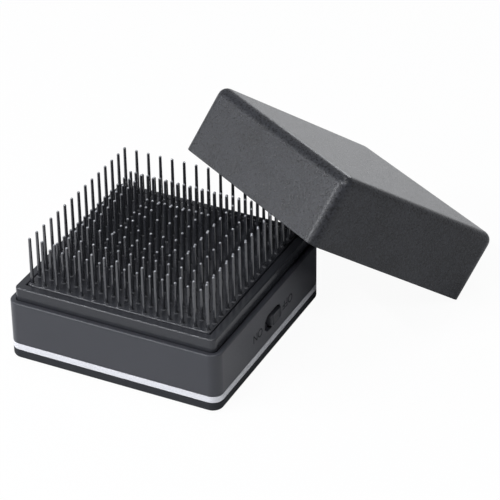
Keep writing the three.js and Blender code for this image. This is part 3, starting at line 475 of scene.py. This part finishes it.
def sleeved_can(name, axis, span, sleeve, collar, bare):
    """A metal can in a printed plastic sleeve: along its axis the sleeve turns from its own colour
    to a dark collar, and the can's ends are bare. `collar` is where the collar begins and `bare`
    how long each end is, as shares of the length."""
    material, tree, place = bare_tree(name)
    along = add_node(tree, "ShaderNodeSeparateXYZ", {0: place}).outputs[axis]
    share = add_node(
        tree, "ShaderNodeMapRange", {"Value": along, 1: span[0], 2: span[1]}
    ).outputs[0]
    above = add_node(tree, "ShaderNodeMath", {0: share, 1: collar}, operation="GREATER_THAN")
    centred = add_node(tree, "ShaderNodeMath", {0: share, 1: 0.5}, operation="SUBTRACT").outputs[0]
    off = add_node(tree, "ShaderNodeMath", {0: centred}, operation="ABSOLUTE").outputs[0]
    at_end = add_node(tree, "ShaderNodeMath", {0: off, 1: 0.5 - bare}, operation="GREATER_THAN")
    print_colour = add_node(
        tree,
        "ShaderNodeMix",
        {0: above.outputs[0], 6: linear(sleeve), 7: linear("#26282c")},
        data_type="RGBA",
    )
    colour = add_node(
        tree,
        "ShaderNodeMix",
        {0: at_end.outputs[0], 6: print_colour.outputs[2], 7: linear("#c6c8ca")},
        data_type="RGBA",
    )
    dust = add_node(
        tree, "ShaderNodeTexNoise", {"Vector": place, "Scale": 1 / DUST_SIZE, "Detail": 3.0}
    ).outputs["Fac"]
    gloss = add_node(
        tree,
        "ShaderNodeMapRange",
        {"Value": dust, 1: NOISE_LOW, 2: NOISE_HIGH, 3: 0.24, 4: 0.36},
    )
    shader = add_node(
        tree,
        "ShaderNodeBsdfPrincipled",
        {
            "Base Color": colour.outputs[2],
            "Metallic": at_end.outputs[0],
            "Roughness": gloss.outputs[0],
        },
    )
    add_node(tree, "ShaderNodeOutputMaterial", {"Surface": shader.outputs[0]})
    return material


def masked_laminate(name):
    """Glass-epoxy board under green solder mask: copper tracks show as paler lines 0.3 mm wide, and
    tinned pads 1 mm across as bright dots."""
    material, tree, place = bare_tree(name)
    tracks = add_node(
        tree,
        "ShaderNodeTexBrick",
        {
            "Vector": place,
            "Color1": linear("#1c5233"),
            "Color2": linear("#206039"),
            "Mortar": linear("#3c8a58"),
            "Scale": 1 / TRACK_GRID,
            "Mortar Size": 0.015,
        },
    )
    dots = add_node(tree, "ShaderNodeTexVoronoi", {"Vector": place, "Scale": 1 / SOLDER_PITCH})
    pad = add_node(
        tree, "ShaderNodeMath", {0: dots.outputs["Distance"], 1: 0.16}, operation="LESS_THAN"
    )
    colour = add_node(
        tree,
        "ShaderNodeMix",
        {0: pad.outputs[0], 6: tracks.outputs["Color"], 7: linear("#c9cbcc")},
        data_type="RGBA",
    )
    shader = add_node(
        tree,
        "ShaderNodeBsdfPrincipled",
        {"Base Color": colour.outputs[2], "Metallic": pad.outputs[0], "Roughness": 0.34},
    )
    add_node(tree, "ShaderNodeOutputMaterial", {"Surface": shader.outputs[0]})
    return material


def length_property(name, description, length):
    """A length setting, given in mm."""
    return bpy.props.FloatProperty(
        name=name,
        description=description,
        default=length * MM,
        subtype="DISTANCE",
        unit="LENGTH",
    )


def colour_property(name, colour):
    """A colour setting, given as sRGB hex."""
    return bpy.props.StringProperty(name=name, description=f"{name}, as sRGB hex", default=colour)


class BrushSizes(bpy.types.PropertyGroup):
    """Sizes that a user would change."""

    corner: length_property("Corner radius", "Radius of the base's upright corners", 3.5)
    cover_edge: length_property("Foot edge", "Radius of the edge that the base stands on", 1.2)
    seam_edge: length_property("Seam edge", "Radius of the edges on both sides of a seam", 0.15)
    housing_edge: length_property("Housing edge", "Radius of the housing's top edge", 0.45)
    neck_edge: length_property("Neck edge", "Radius of the neck frame's top edge", 0.5)
    cap_edge: length_property("Cap edge", "Radius of the cap's top edge and corners", 3.4)
    pin_rows: bpy.props.IntProperty(
        name="Pin rows", description="Pins along each side of the pad", default=15, min=3
    )
    pin_pitch: length_property("Pin pitch", "Distance between two pins", 4.15)
    pin_radius: length_property("Pin radius", "Radius of a pin at its root", 0.56)
    tip_radius: length_property("Tip radius", "Radius of a pin near its tip", 0.46)


class BrushColours(bpy.types.PropertyGroup):
    """Colours of the pieces, as sRGB hex."""

    housing: colour_property("Housing colour", "#38393e")
    cap: colour_property("Cap colour", "#222327")
    # Darker than the housing, as painted shade for the neck's upward-facing rim
    neck: colour_property("Neck colour", "#2d2e32")
    pad: colour_property("Pad colour", "#2c2d31")
    pins: colour_property("Pin colour", "#303135")
    # The pins' tips are painted pale: a painted highlight that shows as bright dots.
    tip_highlights: colour_property("Pin tip painted highlight", "#a2a3a8")
    cover: colour_property("Bottom cover colour", "#2d2e31")
    band: colour_property("Trim band colour", "#dadade")
    knob: colour_property("Knob colour", "#28292d")


def sizes():
    """The scene's size settings."""
    return bpy.context.scene.styling_brush_sizes


def colours():
    """The scene's colour settings."""
    return bpy.context.scene.styling_brush_colours


class BRUSH_OT_cover(bpy.types.Operator):
    """Makes the bottom cover with its battery opening and screw seats"""

    bl_idname = "styling_brush.cover"
    bl_label = "Bottom cover"

    def execute(self, context):
        size = sizes()
        profile = rounded_profile(
            [
                (HALF - HUB, 0, 0),
                (0, 0, size.cover_edge),
                (0, COVER_TOP, size.seam_edge),
                (TONGUE_INSET, COVER_TOP, 0),
                (TONGUE_INSET, COVER_HIGH.z, 0),
                (TONGUE_INSET + TONGUE_WALL, COVER_HIGH.z, 0),
                (TONGUE_INSET + TONGUE_WALL, COVER_FLOOR, 0),
                (HALF - HUB, COVER_FLOOR, 0),
            ],
            closed=False,
        )
        cover = shell("brush_cover", profile, HALF, size.corner, closed=False)
        cut(cover, *door_cutters(), *screw_cutters())
        # ABS, deeply spark-eroded mould: near black and matte, with no gleam on its foot edge.
        finish = moulded_plastic(
            "moulded_abs_foot",
            colours().cover,
            roughness=0.75,
            grain=0.35,
            relief=0.006,
            mottle=0.05,
            specular=0.15,
        )
        finish_piece(cover, "base", finish)
        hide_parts("bottom_cover")
        return {"FINISHED"}


def door_cutters():
    """The battery door's opening through the cover, and above it the wider groove of its lips."""
    narrow_low = (-2 * HALF, DOOR_LOW.y + DOOR_LIP - DOOR_GAP, -PAST)
    narrow_high = (
        DOOR_HIGH.x - DOOR_LIP + DOOR_GAP,
        DOOR_HIGH.y - DOOR_LIP + DOOR_GAP,
        COVER_FLOOR + PAST,
    )
    wide_low = (-2 * HALF, DOOR_LOW.y - DOOR_GAP, DOOR_LIP_LOW)
    wide_high = (DOOR_HIGH.x + DOOR_GAP, DOOR_HIGH.y + DOOR_GAP, COVER_FLOOR + DOOR_GAP)
    return [box_cutter(narrow_low, narrow_high), box_cutter(wide_low, wide_high)]


def screw_cutters():
    """The four case screws' seats and holes, from the cover's underside up."""
    at = HALF - SCREW_FROM_SIDE
    radii = [SCREW_SEAT_RADIUS] * 2 + [SCREW_HOLE_RADIUS] * 2
    heights = [-PAST, SCREW_SEAT_DEPTH, SCREW_SEAT_DEPTH, COVER_FLOOR + 2 * PAST]
    places = ((at, at), (-at, at), (-at, -at), (at, -at))
    return [turned_cutter(radii, heights, x, y) for x, y in places]


class BRUSH_OT_band(bpy.types.Operator):
    """Makes the pale trim band"""

    bl_idname = "styling_brush.band"
    bl_label = "Trim band"

    def execute(self, context):
        size = sizes()
        profile = rounded_profile(
            [
                (0, BAND_LOW.z, size.seam_edge),
                (0, BAND_HIGH.z, size.seam_edge),
                (BORE_INSET, BAND_HIGH.z, 0),
                (BORE_INSET, BAND_LOW.z, 0),
            ]
        )
        band = shell("brush_band", profile, HALF, size.corner, closed=True)
        # ABS, polished mould: clean and pale, with a clear highlight along its edges.
        finish = moulded_plastic(
            "polished_abs_band",
            colours().band,
            roughness=0.28,
            grain=0.5,
            relief=0.002,
            mottle=0.01,
        )
        finish_piece(band, "base", finish)
        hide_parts("trim_band")
        return {"FINISHED"}


class BRUSH_OT_housing(bpy.types.Operator):
    """Makes the housing wall with its shoulder and switch recess"""

    bl_idname = "styling_brush.housing"
    bl_label = "Housing"

    def execute(self, context):
        size = sizes()
        profile = rounded_profile(
            [
                (0, HOUSING_LOW.z, size.seam_edge),
                (0, HOUSING_HIGH.z, size.housing_edge),
                (BORE_INSET, HOUSING_HIGH.z, size.seam_edge),
                (BORE_INSET, SHOULDER_HIGH, 0),
                (SHOULDER_INSET, SHOULDER_HIGH, 0),
                (SHOULDER_INSET, SHOULDER_LOW, 0),
                (BORE_INSET, SHOULDER_LOW, 0),
                (BORE_INSET, HOUSING_LOW.z, 0),
            ]
        )
        housing = shell("brush_housing", profile, HALF, size.corner, closed=True)
        cut(housing, recess_cutter())
        # ABS, spark-eroded mould: charcoal, even and satin, with a fine grain.
        finish = moulded_plastic(
            "moulded_abs_housing",
            colours().housing,
            roughness=0.33,
            grain=0.4,
            relief=0.003,
            mottle=0.05,
            specular=0.36,
        )
        finish_piece(housing, "base", finish)
        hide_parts("housing_shell")
        return {"FINISHED"}


def recess_cutter():
    """The switch's recess: ovals from its floor out, flared by a quarter circle at the face."""
    turn = np.linspace(0, pi / 2, FILLET_STEPS + 1)
    flare = 2 * np.concatenate([[0], RECESS_LIP * (1 - np.cos(turn)), [RECESS_LIP]])
    edge = HALF - RECESS_LIP + RECESS_LIP * np.sin(turn)
    depths = np.concatenate([[HALF - RECESS_DEPTH], edge, [HALF + PAST]])
    rings = oval_rings(RECESS_LENGTH + flare, RECESS_HEIGHT + flare, depths, SWITCH_Y, SWITCH_Z)
    return new_piece("cutter", rings.reshape(-1, 3), capped_faces(*rings.shape[:2]))


class BRUSH_OT_neck(bpy.types.Operator):
    """Makes the neck frame that the cap fits round"""

    bl_idname = "styling_brush.neck"
    bl_label = "Neck frame"

    def execute(self, context):
        size = sizes()
        half = NECK_HIGH.x
        rim = half - PAD_HIGH.x - PAD_GAP
        ledge = rim + PAD_LEDGE
        profile = rounded_profile(
            [
                (0, NECK_LOW.z, size.seam_edge),
                (0, NECK_HIGH.z, size.neck_edge),
                (rim, NECK_HIGH.z, 2 * size.seam_edge),
                (rim, PAD_SEAT, 0),
                (ledge, PAD_SEAT, 0),
                (ledge, NECK_LOW.z + SKIRT_HEIGHT, 0),
                (SKIRT_WALL, NECK_LOW.z + SKIRT_HEIGHT, 0),
                (SKIRT_WALL, NECK_LOW.z, 0),
            ]
        )
        neck = shell("brush_neck", profile, half, NECK_CORNER, closed=True)
        # ABS, polished mould: glossier than the housing, so that its edges shine, and darker, which
        # is painted shade for its upward-facing rim.
        finish = moulded_plastic(
            "polished_abs_neck",
            colours().neck,
            roughness=0.2,
            grain=0.3,
            relief=0.003,
            mottle=0.04,
            specular=0.4,
        )
        finish_piece(neck, "base", finish)
        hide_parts("neck_frame")
        return {"FINISHED"}


class BRUSH_OT_pins(bpy.types.Operator):
    """Makes the pad and its grid of pins in three lengths"""

    bl_idname = "styling_brush.pins"
    bl_label = "Pad and pins"

    def execute(self, context):
        half = PAD_HIGH.x
        low = PAD_LOW.z
        profile = rounded_profile(
            [
                (half - HUB, low, 0),
                (0, low, sizes().seam_edge),
                (0, PAD_TOP, PAD_EDGE),
                (half - HUB, PAD_TOP, 0),
            ],
            closed=False,
        )
        pad = shell("brush_pad", profile, half, PAD_CORNER, closed=False)
        cut(pad, turned_cutter([OUTLET_RADIUS] * 2, [low - PAST, PAD_TOP + PAST], 0, 0))
        # Nylon, smooth mould: near black and satin, so that it mirrors the pins' feet faintly.
        pad_finish = moulded_plastic(
            "moulded_nylon_pad",
            colours().pad,
            roughness=0.22,
            grain=0.4,
            relief=0.006,
            mottle=0.06,
        )
        finish_piece(pad, "base", pad_finish)
        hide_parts("pin_pad")
        vertices, faces, tip_highlights = pin_forms()
        # Nylon, polished mould: a soft line of light down each stalk, and polished tips in a pale
        # colour, which is a painted highlight that shows as bright dots.
        pin_finish = moulded_plastic(
            "moulded_nylon_pins",
            colours().pins,
            roughness=0.17,
            grain=0.4,
            relief=0.002,
            mottle=0.04,
            specular=1.0,
            tip=colours().tip_highlights,
        )
        pins = new_piece("brush_pins", vertices, faces, "base", pin_finish)
        share = pins.data.attributes.new("tip", "FLOAT", "POINT")
        share.data.foreach_set("value", tip_highlights)
        return {"FINISHED"}


def pin_forms():
    """Points and faces of all the pins: each is a profile turned about its own axis.

    The profile is a foot that flares out onto the pad, a stalk that tapers evenly and a round tip.
    A pin's tip is lower by the drop of its ring, counted inwards from the pad's edge in threes. The
    third result is each point's share of the tip's polish and of its pale colour, a painted
    highlight.
    """
    size = sizes()
    index = np.arange(size.pin_rows)
    column, row = (grid.ravel() for grid in np.meshgrid(index, index))
    last = size.pin_rows - 1
    ring = np.minimum.reduce([column, row, last - column, last - row])
    kept = ~((column == last / 2) & (row == last / 2))  # the ion outlet is in the middle
    column, row, ring = column[kept], row[kept], ring[kept]
    tip = PAD_HIGH.z - PIN_DROPS[ring % len(PIN_DROPS)]
    x = (column - last / 2) * size.pin_pitch
    y = (row - last / 2) * size.pin_pitch
    radii = [size.pin_radius + flare for flare in FOOT_FLARES]
    radii += (size.tip_radius * np.cos(TIP_ANGLES)).tolist()
    foot = np.ones_like(tip)[:, None] * (PAD_TOP + FOOT_HEIGHTS)
    top = tip[:, None] - size.tip_radius * (1 - np.sin(TIP_ANGLES))
    angles = np.arange(PIN_SIDES) * 2 * pi / PIN_SIDES
    rings = np.zeros((len(tip), len(radii), PIN_SIDES, 3))
    rings[..., 0] = x[:, None, None] + np.array(radii)[:, None] * np.cos(angles)
    rings[..., 1] = y[:, None, None] + np.array(radii)[:, None] * np.sin(angles)
    rings[..., 2] = np.concatenate([foot, top], 1)[..., None]
    one = grid_faces(len(radii), PIN_SIDES)
    first = np.arange(len(tip))[:, None, None] * len(radii) * PIN_SIDES
    quads = (first + one).reshape(-1, 4).tolist()
    around = np.arange(PIN_SIDES)
    under = (first[:, 0] + around[::-1]).tolist()
    over = (first[:, 0] + (len(radii) - 1) * PIN_SIDES + around).tolist()
    # Share of polish and of the pale colour, a painted highlight, on the tips' last circles
    polished = np.zeros((len(tip), len(radii), PIN_SIDES))
    polished[:, -len(TIP_POLISH_AND_HIGHLIGHT) :] = TIP_POLISH_AND_HIGHLIGHT[:, None]
    return rings.reshape(-1, 3), quads + under + over, polished.ravel()


class BRUSH_OT_cap(bpy.types.Operator):
    """Makes the cap, leaned on the pins"""

    bl_idname = "styling_brush.cap"
    bl_label = "Cap"

    def execute(self, context):
        edge = sizes().cap_edge
        half = CAP_SIDE / 2
        profile = rounded_profile(
            [
                (half - HUB, CAP_HEIGHT - CAP_ROOF, 0),
                (CAP_WALL, CAP_HEIGHT - CAP_ROOF, edge - CAP_WALL),
                (CAP_WALL, CAP_LEAD_IN, 0),
                (CAP_WALL - CAP_LEAD_IN, 0, 0),
                (0, 0, CAP_RIM_EDGE),
                (0, CAP_HEIGHT, edge),
                (half - HUB, CAP_HEIGHT, 0),
            ],
            closed=False,
            power=CAP_SOFTNESS,
        )
        cap = shell("brush_cap", profile, half, edge, closed=False, power=CAP_SOFTNESS)
        place = Matrix.Translation(CAP_STAND) @ Matrix.Rotation(CAP_TURN, 4, "Z")
        place = place @ Matrix.Rotation(-CAP_LEAN, 4, "X")
        cap.data.transform(place @ Matrix.Translation((0, -half, 0)))
        # ABS, coarser spark-eroded mould: a faint even speckle, drawn about twice as coarse as the
        # real one so that it shows, over a grain that breaks up the satin gloss.
        finish = moulded_plastic(
            "grained_abs_cap",
            colours().cap,
            roughness=0.3,
            grain=0.65,
            relief=0.1,
            mottle=0.55,
            specular=0.34,
            speckle=3,
        )
        finish_piece(cap, "cap", finish)
        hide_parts("cap_shell")
        return {"FINISHED"}


class BRUSH_OT_knob(bpy.types.Operator):
    """Makes the ribbed knob of the slide switch and the marks beside it"""

    bl_idname = "styling_brush.knob"
    bl_label = "Switch knob"

    def execute(self, context):
        vertices, faces = knob_form()
        # ABS, spark-eroded mould: as the housing, with worn-smooth ribs.
        finish = moulded_plastic(
            "moulded_abs_knob",
            colours().knob,
            roughness=0.42,
            grain=0.3,
            relief=0.003,
            mottle=0.04,
            specular=0.36,
        )
        knob = new_piece("brush_knob", vertices, faces, "switch", finish)
        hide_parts("switch_knob")
        # Pad-printed ink: a flat dark film, just visible against the charcoal wall.
        ink = moulded_plastic(
            "pad_printed_ink",
            "#141518",
            roughness=0.7,
            grain=0.2,
            relief=0.002,
            mottle=0.08,
            specular=0.2,
        )
        printed_word("switch_mark_on", "ON", ON_START, ink)
        printed_word("switch_mark_off", "OFF", OFF_START, ink)
        return {"FINISHED"}


def knob_form():
    """An oval thumb piece: rings from its foot up a wall, over a round edge and in to its core.

    Each ring is an oval inset towards the straight core, and the top sinks by a cosine of the
    distance along the knob, which leaves ribs across it.
    """
    low, high = KNOB_LOW, KNOB_HIGH
    length = high.y - low.y
    height = high.z - low.z
    turn = np.linspace(0, pi / 2, FILLET_STEPS + 1)
    inner = np.linspace(KNOB_EDGE, height / 2, KNOB_RINGS + 2)[1:-1]
    insets = np.concatenate([[0], KNOB_EDGE * (1 - np.cos(turn)), inner])
    edge = high.x - KNOB_EDGE + KNOB_EDGE * np.sin(turn)
    depths = np.concatenate([[HALF - KNOB_FOOT], edge, np.full(KNOB_RINGS, high.x)])
    y = (low.y + high.y) / 2
    z = (low.z + high.z) / 2
    rings = oval_rings(length - 2 * insets, height - 2 * insets, depths, y, z)
    along = rings[..., 1] - y
    inside = np.clip(insets / RIB_FADE, 0, 1)[:, None] ** 2
    ribs = 0.5 - 0.5 * np.cos(2 * pi * along / RIB_PITCH)
    rings[..., 0] -= RIB_DEPTH * inside * (1 - ribs) * (np.abs(along) < RIB_REACH)
    return rings.reshape(-1, 3), capped_faces(*rings.shape[:2])


def printed_word(name, word, start_y, material):
    """A plain word in a thin film of ink beside the switch, upright when the pins point down.

    Its line runs towards -Y from its start, and its letters' tops point to -Z.
    """
    text = bpy.data.curves.new(name, "FONT")
    text.body = word
    text.size = LETTER_SIZE
    text.extrude = INK_FILM
    flat = bpy.data.objects.new(name, text)
    bpy.context.scene.collection.objects.link(flat)
    depsgraph = bpy.context.evaluated_depsgraph_get()
    mesh = bpy.data.meshes.new_from_object(flat.evaluated_get(depsgraph))
    bpy.data.objects.remove(flat)
    foot = SWITCH_Z + LETTER_FOOT
    mesh.transform(Matrix(((0, 0, 1, HALF), (-1, 0, 0, start_y), (0, -1, 0, foot), (0, 0, 0, 1))))
    piece = bpy.data.objects.new(name, mesh)
    bpy.context.scene.collection.objects.link(piece)
    finish_piece(piece, "base", material)


class BRUSH_OT_inner_parts(bpy.types.Operator):
    """Gives the pieces inside and underneath their finishes"""

    bl_idname = "styling_brush.inner_parts"
    bl_label = "Inner parts"

    def execute(self, context):
        for name, material in (plastic_finishes() | metal_finishes()).items():
            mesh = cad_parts[name].data
            mesh.materials.clear()
            mesh.materials.append(material)
        return {"FINISHED"}


def plastic_finishes():
    """Finishes of the inner pieces of plastic, resin and laminate, by node."""
    made = {}
    # ABS, spark-eroded mould: as the cover round it, a little smoother from handling.
    made["battery_door"] = moulded_plastic(
        "moulded_abs_door",
        colours().cover,
        roughness=0.7,
        grain=0.35,
        relief=0.01,
        mottle=0.05,
        specular=0.2,
    )
    # Natural nylon, blasted mould: milky and matte.
    made["pad_carrier"] = moulded_plastic(
        "moulded_nylon_carrier", "#d8d6cf", roughness=0.55, grain=0.5, relief=0.01, mottle=0.03
    )
    # PBT, glass filled: a black insulator with a faintly cloudy skin.
    made["emitter_holder"] = moulded_plastic(
        "moulded_pbt_insulator", "#1b1c1f", roughness=0.5, grain=0.3, relief=0.008, mottle=0.1
    )
    # PP, plain mould: black and waxy.
    made["battery_tray"] = moulded_plastic(
        "moulded_pp_tray", "#1e1f22", roughness=0.4, grain=0.6, relief=0.008, mottle=0.08
    )
    # Epoxy potted in an ABS box: black, with the slow waves of a poured skin.
    made["ion_module"] = moulded_plastic(
        "potted_epoxy_module", "#17181a", roughness=0.25, grain=1.6, relief=0.05, mottle=0.1
    )
    # Acetal, plain mould: black and slippery, with a low sheen.
    made["switch_slider"] = moulded_plastic(
        "moulded_acetal_slider", "#202124", roughness=0.35, grain=0.3, relief=0.003, mottle=0.04
    )
    # PVC, extruded over copper: smooth skins in red, black and white.
    made["lead_positive"] = moulded_plastic(
        "extruded_pvc_red", "#a02824", roughness=0.38, grain=0.5, relief=0.003, mottle=0.05
    )
    made["lead_negative"] = moulded_plastic(
        "extruded_pvc_black", "#1d1e20", roughness=0.38, grain=0.5, relief=0.003, mottle=0.08
    )
    made["lead_emitter"] = moulded_plastic(
        "extruded_pvc_white", "#dcdbd6", roughness=0.38, grain=0.5, relief=0.003, mottle=0.03
    )
    # FR-4 laminate, etched and masked: green, with paler tracks and bright pads.
    made["circuit_board"] = masked_laminate("masked_fr4_board")
    return made


def metal_finishes():
    """Finishes of the inner pieces of metal, by node, and of the sleeved cells and can."""
    made = {}
    # Aluminium can, shrink-sleeved: a dark blue tube with a bare bright top and foot.
    low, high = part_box("capacitor")
    made["capacitor"] = sleeved_can(
        "sleeved_aluminium_can", "Z", (low.z, high.z), sleeve="#2a3550", collar=1.0, bare=0.06
    )
    # Stainless steel, ground to a point: bright, with fine grinding lines.
    made["emitter_needle"] = plated_metal(
        "ground_steel_needle", "#d0d1d2", "#c2c3c5", roughness=0.2, streak=0.08
    )
    # Tin-plated steel, stamped: a dull grey shield.
    made["switch_body"] = plated_metal(
        "stamped_tinned_shield", "#b9babb", "#a9abad", roughness=0.38, streak=0.15
    )
    # Steel cell, shrink-sleeved and printed: blue with a dark collar, and bare bright ends.
    low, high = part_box("battery_1")
    cell = sleeved_can(
        "sleeved_steel_cell", "X", (low.x, high.x), sleeve="#3f6f8c", collar=0.72, bare=0.025
    )
    # Nickel-plated spring steel, stamped or wound: warm bright metal with drawn lines.
    nickel = plated_metal(
        "drawn_nickel_plate", "#cfcdc8", "#c4c5c8", roughness=0.28, streak=0.12
    )
    # Zinc-plated steel, turned: cool grey that drifts to straw.
    zinc = plated_metal(
        "passivated_zinc_screw", "#b4b8be", "#c2bca6", roughness=0.34, streak=0.1
    )
    contacts = ["bridge_contact", "terminal_negative", "terminal_positive"]
    contacts += ["contact_spring_1", "contact_spring_2"]
    screws = [f"case_screw_{i}" for i in range(1, 5)] + ["board_screw_1", "board_screw_2"]
    made |= dict.fromkeys(["battery_1", "battery_2"], cell)
    return made | dict.fromkeys(contacts, nickel) | dict.fromkeys(screws, zinc)


class BRUSH_OT_stage(bpy.types.Operator):
    """Makes the floor, the lamps, the world and the camera"""

    bl_idname = "styling_brush.stage"
    bl_label = "Stage"

    def execute(self, context):
        make_floor()
        make_world()
        softbox("high_strip", (-0.34, -0.59, 0.87), (0.6, 0.04), 5.5)
        softbox("key_softbox", (-0.85, -0.49, 0.50), (0.3, 0.3), 3.9)
        softbox("low_softbox", (-0.49, -0.93, 0.29), (0.3, 0.3), 2.6)
        softbox("right_softbox", (0.36, -0.52, 0.90), (0.3, 0.3), 3.1)
        softbox("left_softbox", (-1.06, -0.09, 0.29), (0.3, 0.3), 0.6)
        softbox("top_softbox", (-0.10, 0.27, 1.06), (0.35, 0.35), 2.4)
        softbox("back_softbox", (-0.09, 1.07, 0.23), (0.3, 0.3), 1.5)
        camera = bpy.data.cameras.new("camera")
        camera.sensor_width = CAMERA_SENSOR
        camera.lens = CAMERA_LENS
        camera.clip_start = 0.01
        holder = bpy.data.objects.new("camera", camera)
        holder.location = CAMERA_PLACE
        holder.rotation_euler = CAMERA_TURN
        context.scene.collection.objects.link(holder)
        context.scene.camera = holder
        context.scene.view_settings.view_transform = "Standard"
        return {"FINISHED"}


def seen_rays(tree):
    """Two sockets: one is 1 for the camera's rays, the other for rays mirrored or let through."""
    path = add_node(tree, "ShaderNodeLightPath", {}).outputs
    mirrored = add_node(
        tree,
        "ShaderNodeMath",
        {0: path["Is Glossy Ray"], 1: path["Is Transmission Ray"]},
        operation="MAXIMUM",
    )
    return path["Is Camera Ray"], mirrored.outputs[0]


def make_floor():
    """A plain white floor that keeps a faint shadow: the camera sees it as nearly white.

    Reflections see the paint and its shadows near the brush. Further in front of it and behind it
    they see a share of white, which rises evenly from the near distance to the far one.
    """
    corners = np.array([[-1, -1, 0], [1, -1, 0], [1, 1, 0], [-1, 1, 0]]) * FLOOR_REACH
    floor = new_piece("floor", corners - np.array([0, 0, FLOOR_DROP]), [(0, 1, 2, 3)])
    material, tree, place = bare_tree("painted_floor")
    paint = add_node(tree, "ShaderNodeBsdfDiffuse", {"Color": linear("#f4f4f4")})
    white = add_node(tree, "ShaderNodeEmission", {"Color": (1, 1, 1, 1), "Strength": 1.0})
    y = add_node(tree, "ShaderNodeSeparateXYZ", {0: place}).outputs["Y"]
    shifted = add_node(
        tree, "ShaderNodeMath", {0: y, 1: FLOOR_MIDDLE}, operation="SUBTRACT"
    ).outputs[0]
    away = add_node(tree, "ShaderNodeMath", {0: shifted}, operation="ABSOLUTE").outputs[0]
    far = add_node(
        tree,
        "ShaderNodeMapRange",
        {"Value": away, 1: FLOOR_NEAR, 2: FLOOR_FAR, 4: FLOOR_MIRRORED},
    ).outputs[0]
    seen, mirrored = seen_rays(tree)
    part = add_node(tree, "ShaderNodeMath", {0: mirrored, 1: far}, operation="MULTIPLY").outputs[0]
    share = add_node(
        tree, "ShaderNodeMath", {0: seen, 1: FLOOR_SEEN, 2: part}, operation="MULTIPLY_ADD"
    )
    mix = add_node(
        tree,
        "ShaderNodeMixShader",
        {0: share.outputs[0], 1: paint.outputs[0], 2: white.outputs[0]},
    )
    add_node(tree, "ShaderNodeOutputMaterial", {"Surface": mix.outputs[0]})
    floor.data.materials.append(material)


def make_world():
    """A white background to the camera, an even half white in reflections, and a faint light."""
    world = bpy.data.worlds.new("studio")
    bpy.context.scene.world = world
    world.use_nodes = True
    tree = world.node_tree
    tree.nodes.clear()
    seen, mirrored = seen_rays(tree)
    around = add_node(
        tree,
        "ShaderNodeMix",
        {0: mirrored, 2: SURROUND_LIGHT, 3: SURROUND_MIRRORED},
        data_type="FLOAT",
    )
    level = add_node(
        tree, "ShaderNodeMix", {0: seen, 2: around.outputs[0], 3: 1.0}, data_type="FLOAT"
    )
    light = add_node(
        tree, "ShaderNodeBackground", {"Color": (*COOL_WHITE, 1), "Strength": level.outputs[0]}
    )
    add_node(tree, "ShaderNodeOutputWorld", {"Surface": light.outputs[0]})


def softbox(name, location, size, power):
    """A rectangular area lamp that faces the brush, of a size in metres and a power in watts."""
    lamp = bpy.data.lights.new(name, "AREA")
    lamp.shape = "RECTANGLE"
    lamp.size, lamp.size_y = size
    lamp.energy = power
    lamp.color = COOL_WHITE
    holder = bpy.data.objects.new(name, lamp)
    holder.location = location
    away = Vector(location) - LAMPS_AIM
    holder.rotation_euler = away.to_track_quat("Z", "Y").to_euler()
    bpy.context.scene.collection.objects.link(holder)


class BRUSH_PT_panel(bpy.types.Panel):
    """Lists the steps that build the brush, and its settings"""

    bl_idname = "BRUSH_PT_panel"
    bl_label = "Styling brush"
    bl_space_type = "VIEW_3D"
    bl_region_type = "UI"
    bl_category = "Styling brush"

    def draw(self, context):
        for operator in OPERATORS:
            self.layout.operator(operator.bl_idname)
        for group in (sizes(), colours()):
            for name in group.__annotations__:
                self.layout.prop(group, name)


OPERATORS = (
    BRUSH_OT_cover,
    BRUSH_OT_band,
    BRUSH_OT_housing,
    BRUSH_OT_neck,
    BRUSH_OT_pins,
    BRUSH_OT_cap,
    BRUSH_OT_knob,
    BRUSH_OT_inner_parts,
    BRUSH_OT_stage,
)
CLASSES = (BrushSizes, BrushColours, *OPERATORS, BRUSH_PT_panel)


def register():
    for cls in CLASSES:
        bpy.utils.register_class(cls)
    bpy.types.Scene.styling_brush_sizes = bpy.props.PointerProperty(type=BrushSizes)
    bpy.types.Scene.styling_brush_colours = bpy.props.PointerProperty(type=BrushColours)


def unregister():
    del bpy.types.Scene.styling_brush_colours
    del bpy.types.Scene.styling_brush_sizes
    for cls in reversed(CLASSES):
        bpy.utils.unregister_class(cls)


def main():
    register()
    bpy.ops.styling_brush.cover()
    bpy.ops.styling_brush.band()
    bpy.ops.styling_brush.housing()
    bpy.ops.styling_brush.neck()
    bpy.ops.styling_brush.pins()
    bpy.ops.styling_brush.cap()
    bpy.ops.styling_brush.knob()
    bpy.ops.styling_brush.inner_parts()
    bpy.ops.styling_brush.stage()


if __name__ == "__main__":
    main()
